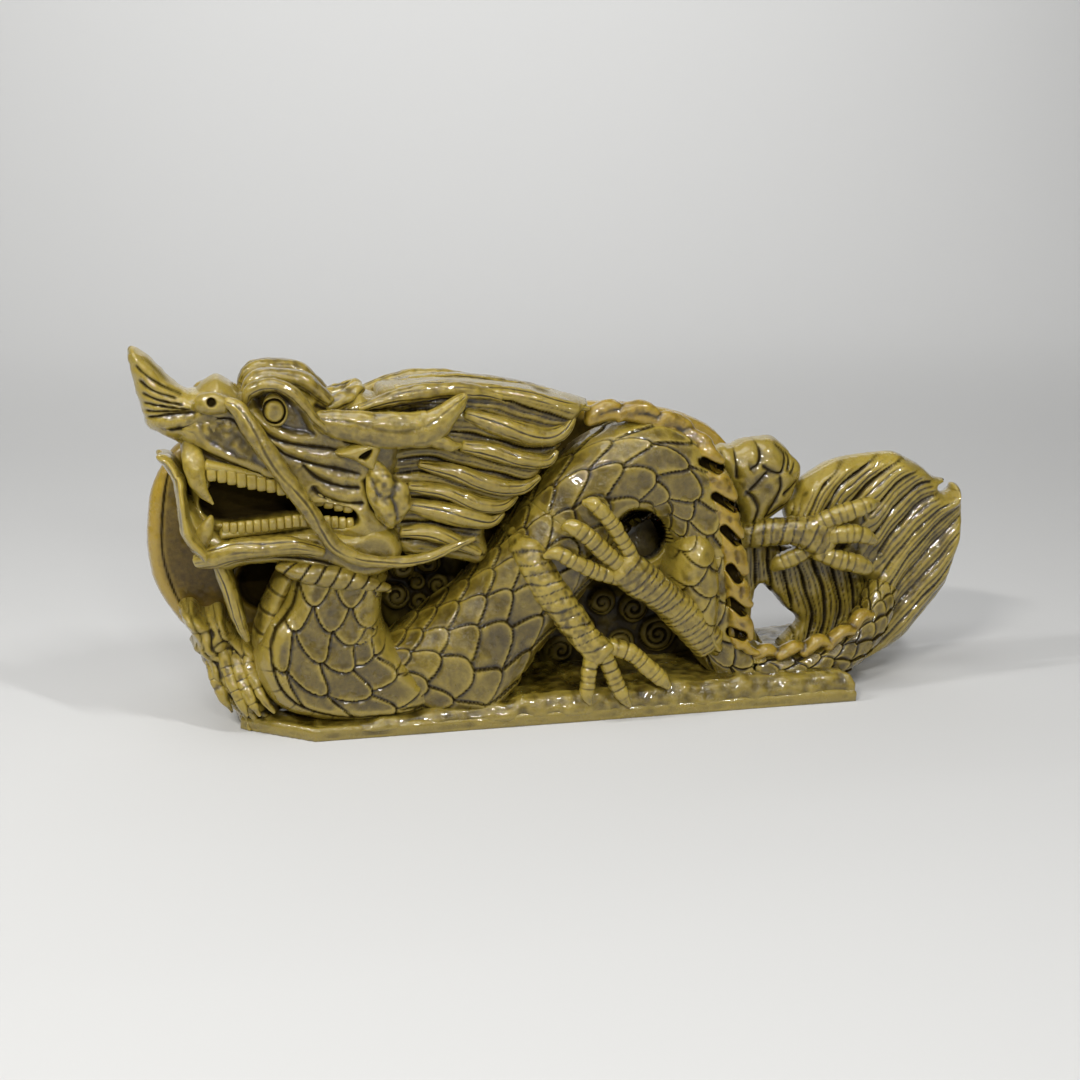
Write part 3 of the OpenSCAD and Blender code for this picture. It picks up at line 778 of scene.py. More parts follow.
def make_body():
    for name, (first, last) in SPINE_CUTS.items():
        skin = body_piece(first, last)
        if name == "back_arch":
            hole = on(-6, [[32.5, 2]])[0]

            def web(q, d):
                r = np.hypot(q[:, 0] - hole[0], q[:, 1] - hole[1])
                bore = 1 - step(7.2, 8.6, r)
                # painted shade: the bore through the arch is darkened
                return 8 * (1 - bore) + bore * (-5 + spiral(q, hole, 9, 3)[0]) + 0.3 * bump(r - 9, 0.6), bore

            shape = on(-6, xy(20,13.5, 33.5,18.5, 50,13.5, 55,-6.5, 50,-23.5, 36.5,-20, 20,-10, 15,3.5))
            skin = skin.joined(relief(shape, -4, web, plain(4, 8)))
        if name == "chest":
            low = np.exp(-(((skin.v[:, 0] + 20) / 17) ** 2)) * (1 - step(8, 42, skin.v[:, 2]))
            skin.v += np.outer(low, (0, -5, -8))
        piece(name, drilled(skin, HOLES.get(name, [])))
    neck = relief(on(-20, NECK_SHAPE), -9, neck_front)
    rope = strand(path(
        -86.5,-8.5,-19,1.6,2.6, -80.5,-10.5,-22,2.8,3.4, -71.5,-12,-23,3.6,3.6, -61.5,-13.5,-22.5,3.2,3.6,
        -50.5,-16,-20,1.2,2,
    ))
    twist, length, angle, _ = tube(rope, 0.4, 90)
    phase = wave(length / 4.6 + angle / (2 * math.pi) * 1.6)
    twist.push(0.25 * (1 - phase**2) - 0.35 * bump(1 - phase, 0.12)).darken(bump(1 - phase, 0.12))
    piece("neck_coil", roughen(neck, 0.3, 9).joined(roughen(twist, 0.15, 5)))
    band = [[p[0] - p[3] + 2, p[1] - 1, p[2], 3.4, 9] for p in NECK[1:]]
    skin, length, _, _ = tube(band, 0.5, 80, (0.4, 0.4))
    cut = bump(np.abs((length / 6.5) % 1 - 0.5) * 6.5, 0.4)
    skin.push(-0.35 * cut).darken(0.7 * cut)
    piece("belly_band", roughen(skin, 0.2, 8), slot="jade_ridge")


# ---------------------------------------------------------------- fins

ARCH_RIDGE = [
    path(
        16,40,-12,2.2,3, 24,42,-12,2.4,3, 33.5,41,-12,2.4,3, 42.5,37.5,-12,2.4,3, 50.5,31.5,-13,2.6,3,
        55.5,23.5,-18,3.2,3, 59,13.5,-19,3.2,3, 62,1.5,-20,3.2,3, 64,-10,-21,3,3, 65,-21.5,-22,2.6,3,
        65.5,-33.5,-22,2.2,2.6,
    ),
]
ARCH_HOOKS = [
    path(16.5,41.5,-12,2.2,3, 20,44,-12,2.4,3, 23.5,45,-12,2.2,2.8, 26,44.5,-12,1.6,2.2),
    path(25.5,41.5,-12,2.6,3, 30,43.5,-12,3,3, 35,44,-12,2.4,2.8, 38.5,42.5,-12,1.6,2.2),
    path(37.5,38.5,-12,2.6,3, 42.5,40,-12,3.2,3, 47.5,38.5,-12,2.6,2.8, 50.5,36,-12,1.5,2.2),
    path(48.5,34.5,-13,3.4,3, 53.5,32,-15,3.8,3, 56.5,28.5,-18,3,2.8, 60.5,26.5,-18,1.5,2.4),
    path(55.5,21.5,-18,3,3, 59,19.5,-19,4,3, 62,16.5,-19,3.4,2.8, 64.5,14.5,-19,1.5,2.4),
    path(59,10,-19,3,3, 62.5,8,-19,3.8,3, 64.5,4.5,-20,3,2.8, 66.5,1.5,-20,1.6,2.4),
    path(61.5,-2.5,-20,3,3, 64.5,-4,-20,3.8,3, 66.5,-7.5,-21,3,2.8, 68.5,-10.5,-21,1.6,2.4),
    path(63.5,-14.5,-21,2.8,3, 66.5,-16,-21,3.4,3, 67.5,-19.5,-22,2.8,2.8, 70,-21.5,-22,1.5,2.3),
    path(64.5,-25.5,-22,2.6,3, 67.5,-26.5,-22,3,3, 69,-30,-22,2.3,2.8, 70,-32.5,-22,1.2,2.2),
    path(65.5,-34.5,-22,2,2.6, 68,-35,-22,2.1,2.6, 69.5,-36.5,-22,1.8,2.4, 72.5,-37.5,-22,1.2,2),
]
TAIL_HOOKS = [
    path(70.5,-38.5,-18,2.2,3, 75.5,-36.5,-18,2.4,3, 78.5,-37.5,-18,1.6,2.2),
    path(79.5,-38.5,-19,2.2,3, 84.5,-35.5,-19,2.3,3, 88,-36,-19,1.4,2),
    path(87.5,-37.5,-19,2.2,3, 92.5,-33.5,-19,2.4,3, 96.5,-34.5,-19,1.5,2),
    path(95.5,-35,-18,2.2,3, 100.5,-30.5,-18,2.4,3, 104.5,-30.5,-18,1.5,2),
    path(102.5,-31.5,-16,2.2,3, 106.5,-25.5,-15,2.5,3, 110.5,-25,-14,1.6,2),
]


def make_fins():
    for name, rows in (("arch_fins", ARCH_RIDGE + ARCH_HOOKS), ("tail_fins", TAIL_HOOKS)):
        skin = together([tube(strand(r), 0.6, 20, (0.7, 0.7))[0] for r in rows])
        skin = roughen(remeshed(skin, 0.42, 3), 0.3, 4)
        piece(name, drilled(skin, HOLES.get(name, [])), slot="jade_thin")


# ---------------------------------------------------------------- legs

def limb(rows, gap, depth, slant):
    """A leg or toe with fine rings cut across it, that far apart."""
    skin, length, angle, _ = tube(strand(rows), 0.4, power=0.78)
    at = length + slant * np.cos(angle) + 0.5 * np.sin(length * 0.7)
    phase = wave(at / gap)
    cut = bump((1 - phase) * gap / 2, 0.32)
    fade = step(0.2, 1.0, length - length.min()) * step(2.5, 5.0, length.max() - length)
    uneven = 0.55 + 0.45 * np.sin(np.floor(at / gap) * 2.4 + 1.3 * np.sin(angle))
    return skin.push((0.1 * (1 - phase**2) - depth * cut * uneven) * fade).darken(0.34 * cut * fade * uneven)


def limbs(name, lines, gap, depth, slant, amount, size):
    skin = together([limb(rows, gap, depth, slant) for rows in lines])
    piece(name, roughen(skin, amount, size), slot="jade_ridge")


FORE_ARM = path(
    -13.5,8.5,8,2,2.2, -9.5,3.5,-7,3,3, -6,-1.5,-17.6,4.4,4.2, -2.5,-6.5,-21.8,5.2,4.8, 2.5,-15.5,-23.6,5.6,5.2,
    9,-24.5,-25,5.2,5.2, 14.5,-32,-26,4.6,5, 20,-37.5,-27,5.2,5,
)
FORE_FINGERS = [
    path(
        18,-37.5,-28,2.4,2.8, 16.5,-42.5,-28.5,2.6,2.6, 16,-46.5,-29,2.5,2.6, 15.5,-51.5,-29.5,2,2.2,
        16.5,-54.5,-29.5,0.7,0.8,
    ),
    path(
        21.5,-38.5,-28,2.6,2.8, 23.5,-43.5,-28.5,2.7,2.7, 25.5,-48,-29,2.6,2.6, 28,-52.5,-29.5,2,2.2,
        30,-55.5,-29.5,0.7,0.8,
    ),
    path(
        23.5,-35.5,-27,2.7,2.8, 30,-37.5,-28,2.8,2.8, 35,-41.5,-28.5,2.8,2.8, 39.5,-45.5,-29,2.6,2.6, 43,-49,-29,1,1,
    ),
]
THIGH_SHAPE = xy(
    44,-5.5, 46.5,0.5, 52,3.5, 57.5,1.5, 60.5,-6.5, 61.5,-18.5, 60.5,-28.5, 62.5,-36, 58.5,-40.5, 53.5,-36.5,
    50,-30.5, 45.5,-22, 42.5,-13.5,
)
THIGH_PATH = xy(50,6.5, 51.5,-6.5, 53.5,-20, 56,-33.5, 58,-43.5)
NEAR_SHANK = path(
    55.5,-33.5,-20,6,5.5, 48,-25.5,-23,6,5.8, 40.5,-18.5,-25,5.6,5.6, 34,-13.5,-27,6.2,5.2, 27.5,-8.5,-28,6.2,4.6,
)
HIND_FINGERS = [
    path(
        32,-8.5,-28,2.4,2.8, 27.5,-0.5,-29,2.5,2.8, 23.5,6,-29.5,2.5,2.8, 18.5,11.5,-29.5,2.4,2.6,
        14.5,12.5,-28,1,1.2,
    ),
    path(28,-9.5,-28.5,2.8,2.8, 21.5,-4,-29.5,2.9,2.8, 15.5,1.5,-30,2.8,2.8, 10.5,4.5,-29.5,2.5,2.6, 7.5,4,-28,1,1.2),
    path(26,-12.5,-28,2.6,2.8, 18.5,-10.5,-29,2.6,2.8, 12,-7.5,-29.5,2.5,2.6, 6,-4.5,-29,2.2,2.4, 1.5,-5.5,-28,0.9,1),
]
FAR_SHAPE = xy(
    58.5,27.5, 62,30.5, 66,30.5, 70.5,32.5, 78,33.5, 82.5,31.5, 85.5,28, 88.5,24.5, 88,19.5, 86,14.5, 83.5,10, 78,6,
    72,2, 67.5,0, 66,8, 63.5,16.5,
)
FAR_CUTS = [
    xy(66,30.5, 65.5,26, 66,20), xy(72.5,33, 73.5,29.5, 72.5,25.5, 69.5,23.5),
    xy(78.5,32, 82,29, 81,24.5, 79.5,22.5, 76,23.5, 73.5,25.5), xy(82,30, 83.5,26.5, 82,22.5),
    xy(69,15.5, 72.5,19.5, 76,23.5), xy(79.5,22.5, 80,18, 78.5,14, 76.5,10, 75,6.5),
    xy(68,16.5, 71,14, 72.5,10, 71,4.5), xy(80,14.5, 83.5,17, 87.5,19.5), xy(75,7, 79.5,9.5, 85.5,12.5),
    xy(86,26.5, 84.5,23.5, 82.5,21.5), xy(65.5,13.5, 67.5,9.5, 67.5,4), xy(61.5,30, 61.5,24.5, 63.5,20),
]
FAR_ARM = path(67.5,1.5,-2,4.2,4.5, 76,2.5,-5,4.6,5, 84,3,-7,4.8,5, 90.5,2,-8,6.5,5, 95.5,0.5,-8.5,7.5,4.6)
FAR_FINGERS = [
    path(92.5,5.5,-9,2.6,3, 99.5,8.5,-11,3.2,3.2, 105.5,10.5,-12,2.8,3, 109.5,12,-12,2.4,2.6, 112.5,12.5,-11,0.9,1),
    path(94,1,-9,2.8,3, 100.5,2,-11.5,3.2,3.2, 106,2,-12,3,3, 110,0.5,-11.5,2,2.2, 112,-0.5,-11,0.8,1),
    path(92.5,-4,-9,3,3, 99.5,-6.5,-11,3.2,3.2, 104.5,-7.5,-11.5,3.2,3, 108.5,-9,-11,2.8,2.6, 110.5,-9.5,-10.5,1,1),
    path(89.5,-2.5,-6,2.6,3, 84.5,-5.5,-6,3,3, 80,-7.5,-5,2.8,2.8, 77.5,-9.5,-4,1.2,1.5),
]
LEFT_FINGERS = [
    path(
        -108,-27.5,-2,1.8,2.7, -106,-36.5,-10,1.9,2.9, -103.5,-45.5,-14,1.9,2.7, -100,-53.5,-17,1.8,2.3,
        -97.5,-58.5,-18,0.6,0.7,
    ),
    path(
        -103.5,-32,-4,1.8,2.7, -101.5,-40,-11,2.0,2.9, -99,-47.5,-15,2.0,2.7, -96,-54,-18,1.8,2.3,
        -93.5,-58.5,-19,0.6,0.7,
    ),
    path(
        -112.5,-31.5,0,1.8,2.7, -110.5,-38.5,-6,1.9,2.9, -108.5,-45.5,-10,1.8,2.7, -105.5,-52.5,-13,1.6,2.2,
        -102.5,-57.5,-14,0.6,0.7,
    ),
    path(
        -98.5,-35,-6,1.8,2.7, -97,-41.5,-12,1.9,2.7, -94.5,-48,-16,1.8,2.5, -91.5,-54,-19,1.4,2.0,
        -88.5,-57.5,-20,0.6,0.7,
    ),
]
CRAG = xy(
    -120.5,-24, -116,-22, -111.5,-25.5, -106,-24, -100,-32, -92.5,-36.5, -90,-49.5, -82.5,-58.5, -76.5,-65, -92.5,-66,
    -99,-64.5, -101.5,-58.5, -106,-53.5, -108,-49.5, -111,-44.5, -112.5,-40, -116.5,-36.5, -115.5,-33.5, -119.5,-27.5,
)


def make_legs():
    limbs("foreleg", [FORE_ARM], 3.4, 0.35, 2.0, 0.5, 3.2)
    limbs("fore_paw", FORE_FINGERS, 2.5, 0.3, 0, 0.22, 4)

    def thigh(q, d):
        dist, along, side = nearest(q, dense(on(-24, THIGH_PATH)))
        h, wax_and_shade = scales(along / 5.2, side * dist / 14 + 0.25, 5.2, 14)
        return dome(d, 8, 15.5) + step(0, 2, d) * h, wax_and_shade * step(0, 1.5, d)

    piece("hind_thigh", roughen(relief(on(-21, THIGH_SHAPE), -12, thigh), 0.3, 6))
    limbs("hind_shank", [NEAR_SHANK], 2.5, 0.35, 1.2, 0.25, 4)
    limbs("hind_paw", HIND_FINGERS, 2.7, 0.3, 0, 0.22, 4)

    def far(q, d):
        cut, wide = cuts(q, -5, FAR_CUTS, 0.45, 1.8)
        return dome(d, 9, 9.5) - 0.5 * cut - 0.7 * wide + 0.8, cut

    piece("far_thigh", roughen(relief(on(-4, FAR_SHAPE), 4, far, plain(9, 9)), 0.35, 6))
    limbs("far_shank", [FAR_ARM], 3.3, 0.45, 1.2, 0.25, 4)
    limbs("far_hind_paw", FAR_FINGERS, 2.6, 0.35, 0, 0.25, 4)
    limbs("far_fore_paw", LEFT_FINGERS, 4.0, 0.3, 0, 0.5, 4)

    def crag(q, d):
        n = noise(upright(q), 6)
        f = wave(q[:, 0] * 0.3 + 0.12 * q[:, 1] + 0.5 * n)
        g = wave(q[:, 1] * 0.22 + 0.1 * q[:, 0] + 0.8 * n)
        h = 1.1 * (1 - f**2) + 0.8 * (1 - g**2)
        return dome(d, 3.5, 15) + 1.6 * n + h - 0.6, 0.8 * np.maximum(bump(1 - f, 0.25), 0.7 * bump(1 - g, 0.2))

    piece("shore_waves", roughen(relief(on(-8, CRAG), 2, crag, plain(5, 7)), 0.5, 4), slot="jade_ridge")


# ---------------------------------------------------------------- ground

def plinth_block(voxel_relax, *levels):
    """The plinth's outline lofted through levels of (inset, height)."""
    rings = []
    for inset, z in levels:
        x, y, c = 103 - inset, 29 - inset, 24 - inset / 2
        ring = ((-x + c, -y), (x, -y), (x, y), (-x + c, y), (-x + 2, y - 1.2 * c), (-x + 1, -y + 0.7 * c))
        rings.append([[*p, z] for p in ring])
    return remeshed(loft(rings), 0.7, voxel_relax)


def make_ground():
    skin = plinth_block(1, (0, 0), (0, 3), (0.5, 4.2))
    skin.v[:, 2] = np.maximum(skin.v[:, 2], 0)
    above = step(0.0, 1.0, skin.v[:, 2])
    piece("plinth", skin.push((0.5 * noise(skin.v, 11) + 0.25 * noise(skin.v, 4, 1)) * above), slot="jade_base")
    skin = plinth_block(2, (0.2, 2.5), (0.5, 5.5), (1.9, 8.4), (4.3, 9.8), (12, 10))
    top = np.interp(skin.v[:, 0], [-100, -65, -35, 0, 60], [4.6, 5.0, 7.2, 10, 10.6])
    skin.v[:, 2] = 2.5 + (skin.v[:, 2] - 2.5) * (top - 2.5) / 7.5
    skin.push(0.8 * noise(skin.v, 14) + 0.7 * noise(skin.v, 5, 1) + 0.28 * noise(skin.v, 2.2, 2))
    piece("rock", skin, slot="jade_base")


# ---------------------------------------------------------------- back

LEAF = xy(
    -113.5,34.5, -121.5,31.5, -126.5,24.5, -130,16, -131,6.5, -130.5,-4, -128.5,-13.5, -124,-21.5, -116.5,-30,
    -105,-33.5, -92.5,-33.5, -80,-28.5, -76.5,-15, -80,-1.5, -96.5,13.5, -103.5,30,
)
LEAF_LINE = xy(-121.5,29.5, -124.5,20, -126,6.5, -125.5,-5.5, -122,-16.5, -116.5,-26)
CURLS = [
    [-45.5, -10,4.5,1], [-36.5, -8.5,4.5,-1], [-47.5, -19.5,5,1], [-40, -21.5,4,-1], [-33.5, -16,4,1],
    [-40.5, -15,3.5,1],
    [30.5, -22,5.5,1], [38.5, -30.5,7,-1], [20, -20,5,-1], [13.5, -28.5,5,1], [40, -42.5,5,1], [6.5, -36,5,1],
    [26.5, -33.5,5,1],
]
CURL_PATCHES = [
    xy(-51.5,-6.5, -40,0, -25,-1.5, -25,-16.5, -36.5,-30, -48.5,-31.5, -54,-20),
    xy(1.5,-16.5, 11.5,-11.5, 26.5,-15, 41.5,-16.5, 53.5,-33.5, 55,-50, 33.5,-55, 6.5,-55, 0,-33.5),
]


def make_back():
    def wall(q, d):
        # the face towards the body is darkened away from its edge
        return 4.0 + 0.5 * noise(upright(q), 9), 0.75 * step(2, 7, d)

    def rear(q, d):
        border = bump(d - 5.5, 0.5) + 0.7 * bump(d - 7.5, 0.4)
        h, wax_and_shade = dome(d, 30, 10.2) - 0.55 * border, border
        free = step(8.6, 9.8, d)
        for k in range(22):
            row, column = k % 3, k // 3
            x = -92 + 23 * column + (0, 11, 4)[row] + 2 * math.sin(5 * k)
            z, r, turn = 24 + 26 * row + 2 * math.sin(3 * k), 12.5 + 1.5 * math.sin(7 * k), 1 - 2 * (k % 2)
            up, cut = spiral(q, (x, z), r, 4.2, turn, x * 0.3)
            h, wax_and_shade = h + (0.9 * up - 0.7 * cut) * free, np.maximum(wax_and_shade, 0.6 * cut * free)
            free = free * (1 - step(-0.5, 0.5, r - np.hypot(q[:, 0] - x, q[:, 1] - z)))
        return np.minimum(h, 10.9), np.clip(wax_and_shade, 0, 1)

    piece("back_shell", roughen(relief(SHELL_OUTLINE, 18, wall, rear, 0.6), 0.3, 12), slot="jade_thin")

    def leaf(q, d):
        (cut,) = cuts(q, 6, [LEAF_LINE], 0.4)
        return dome(d, 5, 4.5) + 0.4 * noise(upright(q), 9) - 0.5 * cut, np.maximum(cut, 0.42 * step(1.5, 5, d))

    skin = roughen(relief(on(8, LEAF), 9, leaf, plain(5, 4.5)), 0.25, 12)
    piece("side_leaf", drilled(skin, [[-92.5, -14,-92.5, -14.5,8.5,5]]), slot="jade_thin")

    def curls(q, d):
        # the patches are darkened all over, and fully in the cuts of their curls
        h, wax_and_shade = dome(d, 5, 5) - 1, np.full(len(q), 0.55)
        for a, b, r, turn in CURLS:
            x, z = on(4, [[a, b]])[0]
            up, cut = spiral(q, (x, z), r, 2.4, turn, a)
            h, wax_and_shade = h + 2.6 * up - 0.9 * cut, np.maximum(wax_and_shade, cut)
        return h, np.clip(wax_and_shade, 0, 1)

    def proud(q, d):
        h, wax_and_shade = curls(q, d)
        return h + 3 * step(0, 4, d), wax_and_shade

    left = relief(on(5, CURL_PATCHES[0]), 13, curls, plain(3, 2))
    right = relief(on(2, CURL_PATCHES[1]), 10, proud, plain(3, 5))
    piece("cloud_scrolls", roughen(left.joined(right), 0.5, 5))


# ---------------------------------------------------------------- head

SKULL_SHAPE = xy(
    -116,49.5, -112,53.5, -108,55.5, -103.5,53.5, -99.5,50.5, -96,53.5, -91.5,55.5, -83.5,55.5, -76,53.5, -70.5,49.5,
    -66,48.5, -61.5,51.5, -56,49.5, -49.5,48, -45.5,43.5, -44,34.5, -46,27.5, -48,20, -46,11.5, -47.5,3.5, -49.5,-2.5,
    -54.5,-6, -63.5,-3.5, -73.5,2, -90,3.5, -108.5,2, -114,6.5, -116.5,13.5, -118,23.5, -119.5,31.5, -126.5,36,
    -124.5,41.5, -120,46,
)
MOUTH = xy(-111,22, -106,20.5, -95,18.5, -80,15.5, -79.5,8.5, -92.5,6, -108,4.5, -113.5,8, -113.5,13.5, -110.5,16.5)
MOUTH_CORNER = xy(-76,12.5, -68.5,12.5, -62,10.5, -60.5,6, -66.5,4, -72.5,5.5)
GUM = xy(-118.5,31.5, -106.5,27, -92.5,22.5, -80,18, -80,14.5, -95,17.5, -110.5,20, -116,23.5)
SOCKET = xy(-96.5,46, -92.5,49.5, -86,50, -80.5,46, -76,40, -74.5,34.5, -81.5,33.5, -88.5,36, -94,40)
LIP_ROUGH = xy(-114.5,44, -108.5,40.5, -101.5,40, -96,31.5, -90,23.5, -100,26, -111.5,31.5, -114.5,36.5)
FACE_CUTS = [
    xy(-100,44, -94.5,38.5, -88.5,33.5, -80,31.5, -70,30.5, -65,29),
    xy(-92.5,34, -85,28.5, -76.5,25.5, -66.5,23.5, -59.5,22), xy(-80,26, -74,20.5, -66.5,18, -59.5,17.5),
    xy(-76.5,18.5, -72.5,14.5, -65,12.5, -58,12.5), xy(-114.5,42.5, -109.5,40, -102.5,39.5, -98,34.5, -92.5,28),
    xy(-126.5,34.5, -118.5,31, -106.5,26.5, -92.5,21.5), xy(-58.5,21.5, -57.5,16, -56,10.5, -52,7.5, -49.5,6.5),
    xy(-52,16.5, -50,12.5, -49.5,8), xy(-46,20, -44.5,13.5, -46,6.5, -49.5,2.5),
    xy(-76,45, -70,42.5, -63.5,42, -53.5,41.5), xy(-66.5,33.5, -56.5,34, -51.5,36.5),
    xy(-49.5,4, -47.5,0.5, -45.5,-1.5),
]


def head_front(q, d):
    t = np.interp(q[:, 0], [-128, -112, -95, -60, -30], [8, 11.5, 14.5, 16.5, 15])
    low = within(q, -21, GUM, 1.2)
    h, wax_and_shade = dome(d, 11, 1) * t - 2.2 * low, 0.25 * low
    h = h - 2.0 * within(q, -23, SOCKET, 3)
    rough = within(q, -21, LIP_ROUGH, 2)
    p3 = np.c_[0.8 * q[:, 0] + 0.6 * q[:, 1], 0.4 * q[:, 0], 0.8 * q[:, 1] - 0.6 * q[:, 0]]
    h = h - rough * (0.7 + 0.5 * noise(p3, 2.2))
    wax_and_shade = np.maximum(wax_and_shade, rough * 0.4 * step(0.0, 0.5, noise(p3, 2.2, 1)))
    cut, wide = cuts(q, -23, FACE_CUTS, 0.5, 1.7)
    h, wax_and_shade = h - 0.6 * cut - 0.7 * wide, np.maximum(wax_and_shade, cut)
    # painted shade: the mouth and its corner are sunk and darkened fully
    for shape in (MOUTH, MOUTH_CORNER):
        deep = within(q, -21, shape, 1.2)
        h, wax_and_shade = h * (1 - deep) + 3.0 * deep, np.maximum(wax_and_shade, deep)
    return h, np.clip(wax_and_shade, 0, 1)


TIP_SHAPE = xy(
    -136.5,64.5, -133.5,63.5, -129.5,60.5, -125,56, -120.5,52, -115.5,50.5, -110,52.5, -101.5,49.5, -100,40,
    -105,31.5, -114.5,31.5, -122.5,34.5, -130,37, -132.5,42, -134.5,48.5, -136.5,56, -137.5,61.5,
)
TIP_CUTS = [
    xy(-135.5,59, -130.5,54.5, -124.5,51, -118.5,48), xy(-133.5,62, -128,56.5, -122.5,52, -117.5,49.5),
    xy(-134.5,54, -128.5,50, -120.5,47.5), xy(-133.5,49.5, -126.5,47, -118.5,45.5), xy(-133,46, -125,45, -116,44),
    xy(-132,40.5, -124,42.5, -114.5,43.5), xy(-124.5,36.5, -119.5,38, -112,39.5),
    xy(-132.5,43, -124.5,43.5, -116.5,43.5),
]
JAW_SHAPE = xy(
    -112.5,-7.5, -113.5,-1.5, -118,2.5, -120,9.5, -118.5,13.5, -114.5,11.5, -111.5,7.5, -106,4.5, -92.5,5.5, -80,7.5,
    -71.5,6.5, -63.5,6, -57.5,8.5, -49.5,6.5, -45.5,-1.5, -49.5,-8.5, -60,-12, -73.5,-10, -86.5,-7.5, -98.5,-8.5,
    -105,-10.5,
)
JAW_CUTS = [
    xy(-108,1.5, -101.5,0, -92.5,1.5, -83.5,2.5, -77.5,3.5), xy(-112.5,-5.5, -106,-4, -96.5,-2, -85,-1, -73.5,-1.5),
    xy(-100,-6.5, -92.5,-5.5, -83.5,-5.5, -73.5,-6.5, -65,-9.5), xy(-72.5,4, -68,-1.5, -62.5,-5.5),
]
LIP_FRONT = path(
    -126.5,28,-9,1.2,4, -123.5,26,-10,2,7, -120.5,20.5,-11,2,9, -119.5,14.5,-13,2,10, -118.5,8,-14,2.2,10,
    -116.5,2,-15,2.6,10, -112,-4,-16,2.4,8, -111.5,-7.5,-16,1.2,5,
)
LIP_ROLL = path(
    -113.5,-6.5,-17,2.6,3.4, -108.5,-5.5,-20,3.8,4, -101.5,-3.5,-22,3.6,4, -92.5,-2.5,-23,3.4,4, -82.5,-2,-23.5,3,3.4,
    -72.5,-4,-23.5,1.8,2.5,
)
NEAR_BROW = path(
    -98.5,46,-20,1.2,2, -97,49.5,-22,1.9,2.6, -92.5,51.5,-24,2.1,2.8, -87.5,51.5,-25,2,2.8, -82.5,49,-26,2,2.6,
    -78.5,45,-26,1.8,2.4, -74.5,40,-25.5,1.5,2, -69.5,35.5,-24.5,1,1.4,
)
TOP_BROW = path(
    -98.5,49.5,-17,1.4,2.4, -96.5,52.5,-17,2.4,3.5, -92.5,54.5,-17,2.7,4, -85.5,54.5,-18,2.7,4, -78.5,53,-18,2.7,4,
    -74,49.5,-18,2.4,3.6, -70,46,-19,1.8,2.6,
)
CURL = path(
    -71.5,44.5,-16,2.2,4, -67.5,46,-15,2.8,4.5, -63.5,48,-13,2.8,4.5, -61,50.5,-11,2.2,3.5, -59.5,50.5,-10,1,1.6,
)
NEAR_HORN = path(
    -74,40,-23,3,2.4, -67.5,38.5,-24.5,4.6,3.4, -56,37,-26,5.4,3.6, -45,36.5,-26.5,5.8,3.8, -36.5,37.5,-26.5,5.4,3.6,
    -31.5,41.5,-26,4,3.2, -27.5,45.5,-25,2.8,2.6, -25,48,-24.5,1.3,1.4,
)
TINE = path(-38,34.5,-26,2.4,2.6, -33.5,33,-26.5,2.4,2.6, -29.5,31.5,-26.5,2,2.2, -26.5,31.5,-26,0.9,1)
FAR_BAND = path(-60,44,-20,1.4,2.4, -50,47,-21,2.4,3, -38.5,49.5,-21,2.8,3.2, -26,50,-20,2.6,3, -13.5,48,-18,1.8,2.4)
NEAR_EAR = xy(-68.5,28.5, -64,31, -58,33, -54,32.5, -52.5,30.5, -54,26.5, -54.5,22, -57.5,23.5, -62,26)
EAR_HOLLOW = xy(-61,27.5, -57.5,30, -55.5,30.5, -56.5,27.5, -58.5,26)
CHEEK_ROWS = [
    path(-56,26,-23,1.8,2.4, -53.5,22,-25,3,3, -52,18,-26,3.4,3.4, -53.5,14.5,-25.5,2,2.4),
    path(-51.5,20.5,-23,2,2.4, -47.5,16.5,-25,3.2,3.2, -46.5,11.5,-25,3.4,3.4, -48.5,6.5,-24,2,2.4),
    path(-55.5,16,-25,2,2.4, -52.5,12,-26.5,3.2,3, -50.5,8,-26,2.8,2.8, -49.5,4.5,-25,1.2,1.6),
    path(-56.5,21.5,-24,1.2,2, -56,16.5,-26,1.8,2.2, -54.5,11.5,-26,1.8,2.2, -52,6,-25,1,1.4),
]
WHISKER = path(
    -104,46,-22,1.8,2.4, -100.5,43.5,-23.5,2.6,2.6, -96,36.5,-25,2.9,2.8, -90,28,-26.5,2.9,2.8,
    -83.5,18.5,-28,2.8,2.8, -77.5,10.5,-28,2.7,2.8, -72.5,3.5,-27.5,2.6,2.6, -67.5,-2.5,-27,2.4,2.4,
    -59.5,-6.5,-27,2.2,2.2, -49.5,-7.5,-26.5,2,2.2, -38.5,-6,-26,1.8,2, -29.5,-2.5,-25,1.5,1.8, -22,0.5,-23.5,0.8,1,
)
NOSTRIL = path(-114,45,-16,2,3, -111.5,45.5,-18.5,3.4,3.6, -108.5,45.5,-20,3.6,4, -105,45,-20.5,2.8,3.2)
EYE_SHAPE = xy(-92.5,42.5, -91.5,47, -88.5,48.5, -85.5,46.5, -83.5,42.5, -84.5,38.5, -87.5,37, -91.5,38.5)
BEARD = path(
    -106.5,-8.5,-16,2.4,4, -104.5,-14,-17,2.6,4, -102.5,-20.5,-18,2.4,3.4, -100,-27.5,-18.5,2,2.6,
    -97.5,-33.5,-18.5,0.8,1,
)


def combed(rows, count, depth):
    """A strand with that many lengthwise cuts."""
    skin, length, angle, r = tube(strand(rows), 0.4, 72)
    turn = angle * count / (2 * math.pi)
    uneven = 0.55 + 0.45 * np.sin(3.1 * np.floor(turn) + 0.21 * length)
    cut = bump(1 - wave(turn + 0.2 * np.sin(length * 0.2)), 0.24) * step(0.8, 1.8, r) * uneven
    return skin.push(-0.8 * depth * cut).darken(0.36 * cut)


